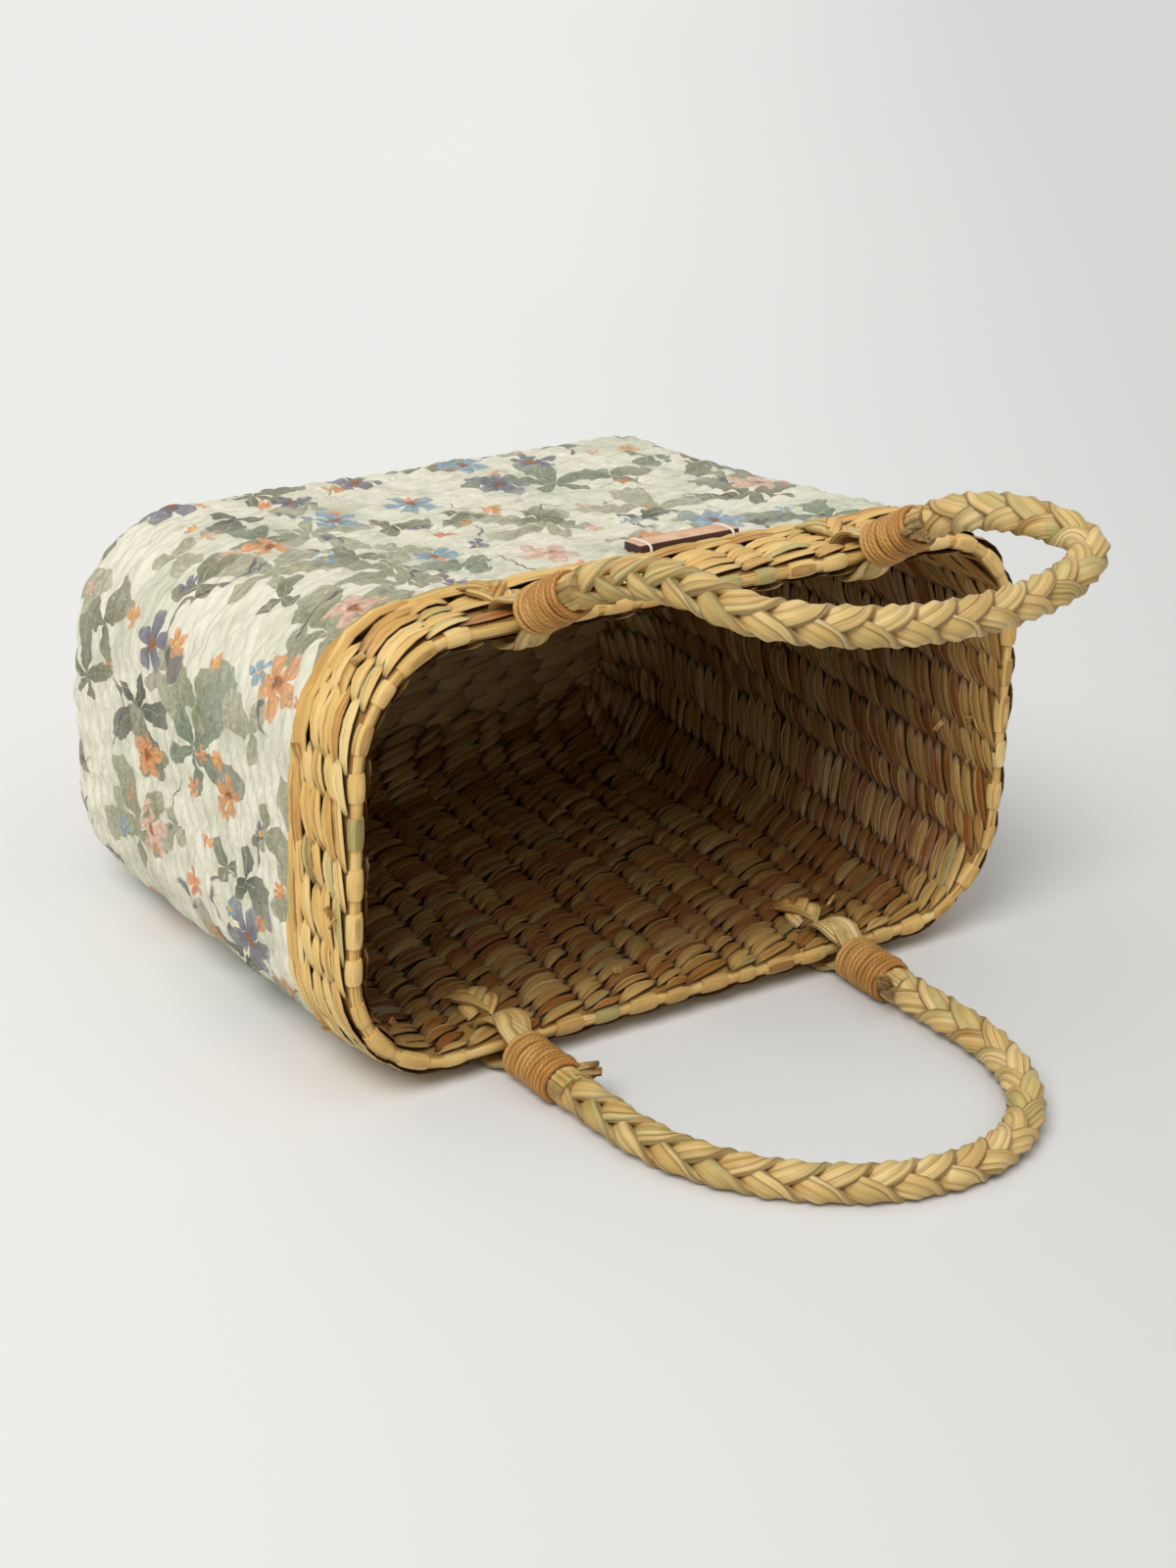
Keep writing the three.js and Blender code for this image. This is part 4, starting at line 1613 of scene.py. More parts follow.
@dataclass
class BaseMat(WovenPart):
    """The base: stitches in straight rows over both of its faces."""

    rows: int = 16
    columns: int = 13
    spread: float = 0.0054
    past_x: float = 0.004
    past_y: float = 0.003
    faces: tuple[tuple[Face, float, float, float], ...] = (
        (Face.INSIDE, 1.0, 0.0062, 0.010),
        (Face.OUTSIDE, -1.0, 0.0016, 0.018),
    )
    stagger: float = 0.3
    stretch: float = 1.44
    length_jitter: float = 0.05
    width_jitter: float = 0.08
    flatten: float = 0.75
    lowest: float = -0.001

    def weave(self, work: StitchWork) -> Sheaf:
        """Copy stitches over the base; each face has its hand, its level and the radius of its corners.

        Args:
            work: The stitch maker.

        Returns:
            The gathered stitches.
        """
        rng = draws(Seed.BASE)
        wide = work.stitch(work.wide_strips, self.spread)
        half_x = self.wall.base_width / 2 - self.wall.edge_radius + self.past_x
        half_y = self.wall.base_depth / 2 - self.wall.edge_radius + self.past_y
        sheaf = Sheaf()
        pitch = 2 * half_x / self.columns
        for face, hand, level, corner in self.faces:
            for row in range(self.rows):
                y = -half_y + (row + 0.5) * 2 * half_y / self.rows
                inset = max(abs(y) - half_y + corner, 0.0)
                limit = half_x - (corner - math.sqrt(max(corner**2 - inset**2, 0.0)))
                for column in range(self.columns):
                    jitter = rng.normal(size=5)
                    shades = rng.random(8)
                    x = -half_x + (column + 0.5 + self.stagger * (row % 2) - self.stagger / 2) * pitch
                    if abs(x) > limit:
                        continue
                    along = wide.points[:, 0] * pitch * self.stretch * (1 + self.length_jitter * jitter[0])
                    across = wide.points[:, 1] * (1 + self.width_jitter * jitter[1])
                    height = np.clip(wide.points[:, 2] * self.flatten, self.lowest, None)
                    standing = np.stack([x + along, y + hand * across, level + hand * height], axis=1)
                    tone = BASE_TONES[face].paint(wide, jitter[3], shades)
                    grain = wide.grain(along, shades)
                    sheaf.add(self.axes.to_world(standing), wide.corners, wide.counts, grain, tone)
        return sheaf


@dataclass
class RimBorder(WovenPart):
    """The rim: a running strand with a smooth barrel of flat reed over it at every stake."""

    depth: float = 0.0068
    thickness: float = 0.0074
    end_share: float = 0.88
    wrap_sides: int = 10
    wrap_stations: int = 7
    wrap_down: float = 0.0034
    wide_length: float = 0.0136
    slim_length: float = 0.0108
    length_jitter: float = 0.16
    turn_jitter: float = 0.0012
    girth_jitter: float = 0.06
    wrap_shade: float = 0.66
    shade_jitter: float = 0.12
    # Painted shade on the wraps of the lower broad side: lower tone and added darkness.
    painted_shade_dimming: float = 0.26
    painted_shade_dark: float = 0.2
    green: float = 0.75
    green_from: float = 0.84
    strand_points: int = 360
    strand_sides: int = 8
    strand_down: float = 0.0036
    strand_half: Span = (0.0024, 0.0026)
    strand_sway: float = 0.0002
    strand_shade: float = 0.62
    strand_spread: float = 0.2

    def barrel(self, share: float) -> tuple[float, ...]:
        """Width, thickness, shift and rise of a barrel wrap at a share of its length."""
        swell = self.end_share + (1.0 - self.end_share) * math.sin(math.pi * share) ** 0.5
        return self.depth * swell, self.thickness * swell, 0.0, 0.0

    def run(self, sheaf: Sheaf) -> None:
        """Lay the running strand.

        Args:
            sheaf: Where to add it.
        """
        count, sides = self.strand_points, self.strand_sides
        turns = np.arange(count) / count
        around = np.arange(sides) * TAU / sides
        sway = self.strand_sway * np.sin(TAU * 40 * turns)
        down = self.strand_down + sway[:, None] + self.strand_half[0] * np.cos(around)[None, :]
        lift = -self.wall.thickness / 2 + self.strand_half[1] * np.sin(around)[None, :] + 0.0 * turns[:, None]
        ring = self.wall.at(np.repeat(turns[:, None], sides, 1).ravel(), down.ravel(), lift.ravel())
        tone = np.zeros((count, sides, 4))
        waves = np.sin(TAU * 23 * turns) * np.sin(TAU * 7 * turns + 1)
        tone[..., 0] = (self.strand_shade + self.strand_spread * waves)[:, None]
        points = self.axes.settled(ring).reshape(count, sides, 3)[:, ::-1]
        sheaf.add_grid(points, grid_grain(turns * self.wall.girth, around * 0.003), tone, (True, True))

    def weave(self, work: StitchWork) -> Sheaf:
        """Wrap the rim.

        Args:
            work: Tells where the stakes and the eyes are.

        Returns:
            The gathered border.
        """
        rng = draws(Seed.RIM)
        sheaf = Sheaf()
        wrap = draw_strand(self.wrap_sides, self.wrap_stations, self.barrel)
        self.run(sheaf)
        for turn, _, is_wide in work.columns():
            jitter = rng.normal(size=4)
            shade = rng.random(3)
            if work.room(turn, 0.004) < 1.0:
                continue
            length = self.wide_length if is_wide else self.slim_length
            along = wrap.points[:, 0] * (length * (1 + self.length_jitter * jitter[0]))
            place = turn + self.turn_jitter * jitter[1]
            girth_share = 1 + self.girth_jitter * jitter[2]
            down = self.wrap_down + wrap.points[:, 1] * girth_share
            lift = -self.wall.thickness / 2 - wrap.points[:, 2] * girth_share
            standing = self.wall.at(place + along / self.wall.girth, down, lift)
            # Painted shade: wraps on the lower side are dimmed and darkened.
            below = max(math.cos(TAU * turn), 0.0) ** 2
            tone = np.zeros((len(along), 4))
            tone[:, 0] = self.wrap_shade - self.painted_shade_dimming * below + self.shade_jitter * jitter[3]
            tone[:, 1] = self.green if shade[0] > self.green_from else 0.0
            tone[:, 2] = self.painted_shade_dark * below
            grain = np.stack([along + shade[1], wrap.points[:, 1] + shade[2]], axis=1)
            sheaf.add(self.axes.settled(standing), wrap.corners, wrap.counts, grain, tone)
        return sheaf


@dataclass
class HandleTucks(WovenPart):
    """The plait ends that are worked into the wall below each eye."""

    strand: Bundle = Bundle((0.0046, 0.0014))
    points: int = 20
    turns: float = 0.8
    spread: float = 0.0056
    start: float = 0.0224
    length: float = 0.0176
    length_jitter: float = 0.0010
    rise: float = 0.0056
    sunk: float = 0.0014
    cross_rise: float = 0.0011

    def weave(self) -> Sheaf:
        """Lay the ends on both faces.

        Returns:
            The ribbons.
        """
        rng = draws(Seed.TUCKS)
        sheaf = Sheaf()
        share = np.linspace(0.0, 1.0, self.points)
        arch = self.rise * np.sin(math.pi * (0.03 + 0.95 * share)) ** 0.6 - self.sunk
        for eye, face, strand in product(self.places.eye_turns(self.wall), Face, range(3)):
            phase = TAU * (self.turns * share + strand / 3)
            down = self.start + (self.length + rng.normal(0.0, self.length_jitter)) * share
            rise = arch + self.cross_rise * np.sin(2 * phase) * np.sin(math.pi * share)
            turns = eye + self.spread * np.sin(phase) / self.wall.girth
            path = self.axes.settled(self.wall.at(turns, down, self.wall.off_face(face, rise)))
            higher = self.wall.at(turns, down, self.wall.off_face(face, rise + 0.001))
            normal = self.axes.to_world(higher) - path
            self.strand.sweep(sheaf, path, normal, int(rng.integers(TONE_SEEDS)), TUCK_WEAR_AND_SHADE[face])
        return sheaf


@dataclass
class CutEnds(WovenPart):
    """Short cut reed ends that stand out of the bare weave here and there."""

    count: int = 16
    points: int = 6
    down_span: Span = (0.006, 0.034)
    down_jitter: float = 0.002
    length_span: Span = (0.0035, 0.0065)
    rise_from: float = 0.0026
    rise_by: float = 0.0024
    half_span: Span = (0.0010, 0.0018)
    half_thickness: float = 0.0006
    strips: int = 3
    aged: float = 0.5

    def weave(self, work: StitchWork) -> Sheaf:
        """Leave the ends.

        Args:
            work: Tells where the eyes need room.

        Returns:
            The cut ends.
        """
        rng = draws(Seed.CUT_ENDS)
        sheaf = Sheaf()
        share = np.linspace(0.0, 1.0, self.points)
        for face, _ in product(Face, range(self.count)):
            turn, down = rng.uniform(0.0, 1.0), rng.uniform(*self.down_span)
            if work.room(turn, down) < 1.0:
                continue
            length = rng.uniform(*self.length_span)
            turns = turn + (rng.choice([-1.0, 1.0]) * length * share) / self.wall.girth
            lift = self.wall.off_face(face, self.rise_from + self.rise_by * share)
            downs = down + rng.normal(0.0, self.down_jitter) * share
            path = self.axes.settled(self.wall.at(turns, downs, lift))
            normal = np.tile(rng.normal(size=3), (len(share), 1))
            end = Bundle((rng.uniform(*self.half_span), self.half_thickness), self.strips)
            end.sweep(sheaf, path, normal, int(rng.integers(TONE_SEEDS)), self.aged)
        return sheaf


@dataclass
class Basket(WovenPart):
    """The woven body: core, stitched faces, base and rim border."""

    reed: Material
    first_row: float = 0.0060
    foot_gap: float = 0.002
    band_pitch: float = 0.0070
    band_rows: int = 4
    bare_band: float = 0.040
    edging_gaps: Span = (0.0046, 0.0012)
    cover_end: float = 0.2466
    edge_from: float = 0.001
    edge_past: float = 0.004
    edge_pitch: float = 0.0055

    def weave(self, name: str, sheaf: Sheaf, *nodes: str, angle: float = WEAVE_ANGLE) -> None:
        """Make a woven piece and dress it.

        Args:
            name: Piece name.
            sheaf: Its gathered strands.
            nodes: Solids that it stands for.
            angle: Edges sharper than this stay sharp.
        """
        dress(sheaf.to_object(name, self.reed, angle), "basket", "woven_reed", *nodes)

    def build(self) -> None:
        """Build and dress every woven piece."""
        stakes = [node for node in frame["nodes"] if node.startswith("stake")]
        courses = [node for node in frame["nodes"] if node.startswith("wall_course")]
        laid_on = (self.wall, self.places, self.axes)
        dress(WallCore(*laid_on).build(self.reed), "basket", "woven_reed", *stakes)
        work = StitchWork(*laid_on)
        foot = self.wall.wall_length + self.wall.edge_length
        rows = np.arange(self.first_row, foot - self.foot_gap, work.row_pitch)
        lining = replace(
            work, rise=0.0086, tip=0.06, length=0.96, stagger=0.5, step=0.0006, strip_thickness=0.0020,
            wide_strips=(0.0064, 0.0046), wide_spread=0.0030,
            slim_strips=(0.0060, 0.0044), slim_spread=0.0028,
        )
        # Each quarter of the inside takes its own strength of painted shade.
        for number, (name, inner_painted_shade, start, end) in enumerate(QUARTERS):
            inner = replace(lining, inner_painted_shade=inner_painted_shade)
            sheaf = inner.lay(Face.INSIDE, rows, Seed.INSIDE + number, (start, end))
            self.weave(name, sheaf, *(courses if number == 0 else ()))
        leaves = replace(
            work, rise=0.0054, tip=0.26, step=0.0006, strip_thickness=0.0018,
            wide_strips=(0.0061, 0.0054), wide_spread=0.0042,
            slim_strips=(0.0061, 0.0052), slim_spread=0.0042,
        )
        band = self.band_pitch + self.band_pitch * np.arange(self.band_rows)
        self.weave("bare_band_weave", leaves.lay(Face.OUTSIDE, band, Seed.BAND))
        lines = [self.bare_band - gap for gap in self.edging_gaps]
        runs = replace(leaves, rise=0.0048, length=1.9)
        self.weave("band_edging", runs.lay(Face.OUTSIDE, lines, Seed.EDGING))
        tight = replace(work, rise=0.0056)
        turn_rows = np.arange(self.cover_end + self.edge_from, foot + self.edge_past, self.edge_pitch)
        self.weave("base_edge_weave", tight.lay(Face.OUTSIDE, turn_rows, Seed.BASE_EDGE), "base_turn")
        self.weave("base_weave", BaseMat(*laid_on).weave(tight), "base_mat")
        self.weave("rim_cap", RimBorder(*laid_on).weave(work), "rim_border", angle=EVEN_ANGLE)
        self.weave("handle_tucks", HandleTucks(*laid_on).weave(), angle=STRAND_ANGLE)
        self.weave("cut_ends", CutEnds(*laid_on).weave(work), angle=STRAND_ANGLE)


@dataclass
class PrintedCover:
    """Printed cloth glued over the outside weave, taking up its relief."""

    wall: WallShape
    axes: StandingFrame
    cloth: Material
    top: float = 0.040
    end: float = 0.2466
    lift: float = 0.0009
    relief: float = 0.0026
    around: int = 480
    rows: int = 200
    columns: int = 50
    row_pitch: float = 0.0069
    size_span: Span = (0.4, 1.0)
    row_sway: float = 0.0011
    row_drift: float = 0.14
    column_sway: float = 0.12
    slant: float = 0.95
    ridge_powers: Span = (0.55, 0.75)
    uneven: float = 0.2
    hem_waves: tuple[tuple[float, int, float], ...] = ((0.0007, 9, 0.0), (0.0005, 23, 2.0))
    hem_share: float = 0.012
    hem_sunk: float = 0.0006
    overlap: float = 0.025
    turned_in: float = 0.006

    def bumps(self, turn: Array, down: Array) -> Array:
        """Height of the stitches under the cloth.

        Args:
            turn: Shares of the way round.
            down: Distances from the rim.

        Returns:
            Heights above the cloth's base.
        """
        size = draws(Seed.RELIEF).uniform(*self.size_span, (int(self.end / self.row_pitch) + 4, self.columns))
        row = (down + self.row_sway * np.sin(TAU * 9 * turn + 58 * down)) / self.row_pitch
        sway = self.column_sway * np.sin(TAU * 4 * turn + 83 * down)
        around = turn * self.columns - self.row_drift * row + sway
        column = np.floor(around)
        cell = around - column
        slanted = row + self.slant * (cell - 0.5) + 1.0
        line = np.floor(slanted)
        along_power, across_power = self.ridge_powers
        ridge = np.sin(math.pi * cell) ** along_power * np.sin(math.pi * (slanted - line)) ** across_power
        own_size = size[line.astype(int), np.mod(column, self.columns).astype(int)]
        waves = self.uneven * np.sin(TAU * 13 * turn + 71 * down) * np.sin(TAU * 5 * turn - 43 * down)
        return self.relief * ridge * own_size * (1.0 - self.uneven + waves)

    def build(self) -> None:
        """Lay the cloth over the wall and dress it."""
        turns = np.arange(self.around + 1) / self.around
        shares = np.linspace(0.0, 1.0, self.rows)
        edge = np.full(len(turns), self.top)
        for size, count, start in self.hem_waves:
            edge = edge + size * np.sin(TAU * count * turns + start)
        down = edge[None, :] + shares[:, None] * (self.end - edge)[None, :]
        turn = np.repeat(turns[None, :], self.rows, 0)
        tuck = smooth(shares, 0.0, self.hem_share) * (1.0 - smooth(shares, 1.0 - self.hem_share, 1.0))
        lift = (self.lift + self.bumps(turn, down)) * tuck[:, None] - self.hem_sunk * (1 - tuck[:, None])
        standing = self.wall.at(turn.ravel(), down.ravel(), lift.ravel())
        points = self.axes.settled(standing.reshape(self.rows, self.around + 1, 3))[::-1]
        grain = np.stack([turn * self.wall.girth, down], axis=-1)[::-1]
        sheaf = Sheaf()
        sheaf.add_grid(points, grain, np.zeros(turn.shape + (4,)), (False, False))
        piece = sheaf.to_object("printed_cover_cloth", self.cloth, CLOTH_ANGLE)
        dress(piece, "basket", "printed_cloth", "printed_cover")


@dataclass
class LeatherTag:
    """Blank leather tag on the upper broad side with a thread over each end."""

    wall: WallShape
    axes: StandingFrame
    leather: Material
    thread: Material
    length: float = 0.054
    height: float = 0.0115
    thickness: float = 0.0034
    from_middle: float = 0.020
    below_rim: float = 0.0478
    off_wall: float = 0.0014
    corner: float = 0.0022
    edge: float = 0.0004
    inset: float = 0.0006
    edge_margin: float = 0.0005
    thread_radius: float = 0.0006
    thread_from_end: float = 0.005
    thread_past: float = 2.4
    thread_sunk: float = 0.0002
    thread_points: int = 30
    thread_sides: int = 8

    def seat(self) -> Array:
        """Matrix from the tag's own axes (along, up the wall, out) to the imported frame."""
        slope = math.atan((self.wall.rim_depth - self.wall.base_depth) / 2 / self.wall.height)
        height = self.wall.height - self.below_rim
        share = height / self.wall.height
        depth = (self.wall.base_depth + (self.wall.rim_depth - self.wall.base_depth) * share) / 2
        out = np.array([0.0, math.cos(slope), -math.sin(slope)])
        up = np.array([0.0, math.sin(slope), math.cos(slope)])
        centre = np.array([self.from_middle, depth, height]) + out * self.off_wall
        axes = np.stack([np.array([-1.0, 0.0, 0.0]), up, out]) @ self.axes.axes
        place = np.eye(4)
        place[:3, :3] = axes.T
        place[:3, 3] = self.axes.to_world(centre[None])[0]
        return place

    def build(self) -> None:
        """Build and dress the tag and its threads."""
        dress(self.plate(), "basket", "tag_leather", "leather_tag")
        for name, end in (("tag_thread_left", -1), ("tag_thread_right", 1)):
            dress(self.stitch(f"{name}_twist", end), "basket", "tag_thread", name)

    def plate(self) -> Piece:
        """Model the tag from a block: bevelled edges and a tone of their own for them.

        Returns:
            The tag.
        """
        top = self.thickness
        deselect()
        bpy.ops.mesh.primitive_cube_add(size=1.0)
        piece = bpy.context.object
        piece.name = "leather_tag_plate"
        bpy.ops.object.mode_set(mode="EDIT")
        bpy.ops.mesh.select_all(action="SELECT")
        bpy.ops.transform.resize(value=(self.length, self.height, top), center_override=(0, 0, 0))
        bpy.ops.transform.translate(value=(0.0, 0.0, top / 2))
        pick_edges(piece, lambda a, b: abs(a.z - b.z) > top / 2)
        bpy.ops.mesh.bevel(offset=self.corner, segments=4)
        pick_edges(piece, lambda a, b: min(a.z, b.z) > top - 1e-6)
        bpy.ops.mesh.bevel(offset=self.edge, segments=2)
        bpy.ops.mesh.select_mode(type="FACE")
        bpy.ops.mesh.select_all(action="DESELECT")
        shape = bmesh.from_edit_mesh(piece.data)
        for face in shape.faces:
            face.select_set(face.normal.z > 0.99)
        bmesh.update_edit_mesh(piece.data)
        bpy.ops.mesh.inset(thickness=self.inset)
        bpy.ops.object.mode_set(mode="OBJECT")
        x, y, z = mesh_points(piece.data).T
        inner = np.abs(x) < self.length / 2 - self.edge_margin
        inner &= np.abs(y) < self.height / 2 - self.edge_margin
        rim = np.where((z > top - 1e-5) & inner, 0.0, 1.0)
        keep_tone(piece.data, np.stack([rim, rim * 0, rim * 0, rim * 0], axis=1))
        piece.data.transform(Matrix(self.seat().tolist()))
        piece.data.materials.append(self.leather)
        smooth_piece(piece, TAG_ANGLE)
        return piece

    def stitch(self, name: str, end: int) -> Piece:
        """Sweep a thread over one end of the tag.

        Args:
            name: Piece name.
            end: -1 or 1.

        Returns:
            The thread.
        """
        angle = math.pi * np.linspace(0.0, 1.0, self.thread_points)
        # Square roots of the cosine and the sine make the half circle into a squarish loop.
        level, rise = (np.sign(value) * np.abs(value) ** 0.5 for value in (np.cos(angle), np.sin(angle)))
        along = np.full(self.thread_points, -end * (self.length / 2 - self.thread_from_end))
        up = -(self.height / 2 + self.thread_past * self.thread_radius) * level
        out = (self.thickness + self.thread_radius) * rise - self.thread_sunk
        seat = self.seat()
        path = np.stack([along, up, out], axis=1) @ seat[:3, :3].T + seat[:3, 3]
        sheaf = Sheaf()
        sweep(sheaf, path, self.thread_radius, self.thread_sides, np.zeros((self.thread_points, 4)))
        return sheaf.to_object(name, self.thread, STRAND_ANGLE)


# The handles


@dataclass
class PlaitedHandle:
    """A three-strand plait that hangs in two eyes on the rim, each bound by a lashing."""

    side: Side
    places: HandlePlaces
    axes: StandingFrame
    reed: Material
    twine: Material
    out_angle: float
    reach: float
    leg: float
    lean: float
    curl: float
    rolls: tuple[Span, ...]
    period: float = 0.057
    swing: float = 0.0046
    bound_swing: float = 0.72
    opening: float = 0.012
    weave: float = 0.0029
    facing: Span = (1.25, 1.8)
    points: int = 300
    strand: Bundle = Bundle((0.0050, 0.0027))
    eye_strand: Bundle = Bundle((0.0038, 0.0012))
    eye_points: int = 64
    eye_gap: float = math.radians(11)
    eye_pull_from: float = math.radians(62)
    eye_pull: float = 0.0068
    eye_cross: float = 0.0006
    eye_spread: float = 0.0056
    eye_narrowing: float = 0.45
    eye_turns: float = 0.9
    tail: Bundle = Bundle((0.0027, 0.0013))
    tail_count: int = 4
    tail_splay: Span = (26.0, 46.0)
    tail_tilt: float = 0.4
    tail_length: Span = (0.0085, 0.0135)
    tail_bow: float = 0.0012
    tail_inset: float = 0.0052
    tail_back: float = 0.003
    tail_away: float = -0.002
    tail_away_spread: float = 0.0025
    tail_aged: float = 0.9
    sleeve: Bundle = Bundle((0.0077, 0.0068), 14)
    sleeve_back: float = 0.004
    sleeve_length: float = 0.0115
    cord_radius: float = 0.00121
    cord_sides: int = 10
    cord_per_turn: int = 36
    cord_past: float = 0.15
    cord_ease: float = 0.3
    bound_radius: float = 0.0083
    cord_jitter: float = 0.00022
    cord_wave: float = 0.0002
    cord_slope: float = 0.00034
    cord_sunk: float = 0.0016
    cord_squash: float = 0.94
    cord_shade: Triple = (0.12, 0.62, 0.06)

    @property
    def label(self) -> str:
        """Name of the handle's body without its ending."""
        return self.side.name.lower()

    @property
    def hinge(self) -> Array:
        """Place of the handle's hinge."""
        name = f"{self.label}_handle_swing"
        return np.array(next(joint["pos_m"] for joint in frame["joints"] if joint["name"] == name))

    @property
    def headings(self) -> tuple[Array, Array]:
        """Directions out of the rim and away from the basket."""
        sign, sine, cosine = self.side.value, math.sin(self.out_angle), math.cos(self.out_angle)
        out = np.array([0.0, sign * sine, cosine]) @ self.axes.axes
        return out, np.array([0.0, sign * cosine, -sine]) @ self.axes.axes

    def at(self, across: Array, out: Array, away: Array) -> Array:
        """Place points given in the handle's own axes.

        Args:
            across: Distances across the basket from the middle of the handle.
            out: Distances out of the rim.
            away: Distances away from the basket.

        Returns:
            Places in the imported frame.
        """
        out_axis, away_axis = self.headings
        return (
            self.hinge
            + across[..., None] * np.array([1.0, 0.0, 0.0])
            + out[..., None] * out_axis
            + away[..., None] * away_axis
        )

    def curled(self, across: Array, out: Array) -> Array:
        """Place points of the handle's flat loop once it has been curled and leant.

        Args:
            across: Distances across.
            out: Distances out of the rim before curling.

        Returns:
            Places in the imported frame.
        """
        bound = self.places.bound_end
        past = np.clip(out - bound, 0.0, None)
        share = past / (self.reach - bound)
        bend = np.maximum(self.curl * share, 1e-9)
        along = past * np.sin(bend) / bend
        inward = past * (1.0 - np.cos(bend)) / bend
        return self.at(across + self.lean * share**2, np.minimum(out, bound) + along, -inward)

    def middle_line(self, count: int) -> tuple[Array, Array]:
        """Points of the plait's middle line, evenly spaced, and the loop's normal there.

        Args:
            count: How many points.

        Returns:
            Places and unit normals.
        """
        half = self.places.spread / 2
        rise = self.reach - self.leg
        angle = np.linspace(math.pi, 0.0, 400)
        up = np.linspace(self.places.eye_middle, self.leg, 120)
        leg = np.full(len(up) - 1, half)
        across = np.concatenate([-leg, half * np.cos(angle), leg])
        out = np.concatenate([up[:-1], self.leg + rise * np.sin(angle), up[::-1][1:]])
        run = run_along(self.curled(across, out))
        even = np.linspace(0.0, run[-1], count)
        across, out = np.interp(even, run, across), np.interp(even, run, out)
        step = 1e-4
        slope_x = self.curled(across + step, out) - self.curled(across - step, out)
        slope_o = self.curled(across, out + step) - self.curled(across, out - step)
        return self.curled(across, out), unit(np.cross(slope_x, slope_o))

    def build(self) -> None:
        """Build and dress the plait, its lashings and its cut tails."""
        body = f"{self.label}_handle"
        plait = self.plait().to_object(f"{self.label}_plait_strands", self.reed, PLAIT_ANGLE)
        dress(plait, body, "plaited_reed", f"{self.label}_plait")
        for name, sheaf in (("eyes", self.eyes()), ("tails", self.tails())):
            piece = sheaf.to_object(f"{self.label}_plait_{name}", self.reed, STRAND_ANGLE)
            dress(piece, body, "plaited_reed")
        for name, sign in (("left", -1), ("right", 1)):
            node = f"{self.label}_lashing_{name}"
            cord = self.lashing(sign).to_object(f"{node}_cord", self.twine, PLAIT_ANGLE)
            dress(cord, body, "lashing_twine", node)

    def plait(self) -> Sheaf:
        """Plait three bundles along the middle line.

        Returns:
            The strands.
        """
        line, normal = self.middle_line(self.points)
        run = run_along(line)
        side = np.cross(normal, unit(np.gradient(line, axis=0)))
        shares, degrees = zip(*self.rolls)
        roll = np.radians(np.interp(run / run[-1], shares, degrees))[:, None]
        across = side * np.cos(roll) - normal * np.sin(roll)
        normal = side * np.sin(roll) + normal * np.cos(roll)
        start = self.places.lashing_start
        from_end = np.minimum(run, run[-1] - run) + self.places.eye_middle
        open_share = smooth(from_end, start, self.places.bound_end + self.opening)
        wander = self.swing * (self.bound_swing + (1.0 - self.bound_swing) * open_share)
        keep = from_end > start - 0.001
        most, sharp = self.facing
        sheaf = Sheaf()
        for strand in range(3):
            phase = TAU * (run / self.period + strand / 3)
            path = (
                line
                + across * (wander * np.sin(phase))[:, None]
                + normal * (self.weave * np.sin(2 * phase))[:, None]
            )
            facing = most * np.tanh(sharp * np.cos(phase))
            flat = across * np.cos(facing)[:, None] + normal * np.sin(facing)[:, None]
            self.strand.sweep(sheaf, path[keep], flat[keep], Seed.STRANDS + strand)
        return sheaf

    def eyes(self) -> Sheaf:
        """Bend flat strands through the wall and round the rim at both ends.

        Returns:
            The eyes' strands.
        """
        sheaf = Sheaf()
        turn = np.linspace(self.eye_gap, TAU - self.eye_gap, self.eye_points)
        near = np.minimum(turn, TAU - turn)
        pull = np.clip((self.eye_pull_from - near) / (self.eye_pull_from - self.eye_gap), 0.0, 1.0)
        spread = self.eye_spread * (1.0 - self.eye_narrowing * pull)
        for end, strand in product((-1, 1), range(3)):
            phase = TAU * (self.eye_turns * turn / TAU + strand / 3) + 0.7 * end
            radius = self.places.eye_middle + self.eye_pull * pull**2 + self.eye_cross * np.sin(2 * phase)
            across = end * self.places.spread / 2 + spread * np.sin(phase)
            path = self.at(across, radius * np.cos(turn), radius * np.sin(turn))
            normal = unit(path - self.at(across, 0.0 * turn, 0.0 * turn))
            self.eye_strand.sweep(sheaf, path, normal, Seed.EYES + 7 * end + strand)
        return sheaf

    def tails(self) -> Sheaf:
        """Stand the cut plait ends out past the lashings.

        Returns:
            The tails.
        """
        rng = draws(Seed.TAILS + self.side.value)
        sheaf = Sheaf()
        facing = self.headings[1]
        half = self.places.spread / 2
        share = np.linspace(0.0, 1.0, 8)
        sleeve_share = np.linspace(0.0, 1.0, 10)
        for end in (-1, 1):
            for _ in range(self.tail_count):
                splay = math.radians(rng.uniform(*self.tail_splay))
                tilt = rng.uniform(0.0, self.tail_tilt)
                length = rng.uniform(*self.tail_length)
                bow = self.tail_bow * np.sin(math.pi * share) * rng.uniform(-1, 1)
                across = end * (half - self.tail_inset - (length * share) * math.sin(splay) - bow)
                out = self.places.bound_end - self.tail_back + length * share * math.cos(splay)
                away = self.tail_away - length * share * tilt
                away = away + rng.uniform(-self.tail_away_spread, self.tail_away_spread)
                path = self.at(across, out, away)
                normal = np.tile(facing, (len(share), 1))
                self.tail.sweep(sheaf, path, normal, int(rng.integers(TONE_SEEDS)), self.tail_aged)
            out = self.places.bound_end - self.sleeve_back + self.sleeve_length * sleeve_share
            middle = self.at(np.full(len(out), end * half), out, 0.0 * out)
            self.sleeve.sweep(sheaf, middle, np.tile(facing, (len(out), 1)), Seed.SLEEVE + end)
        return sheaf

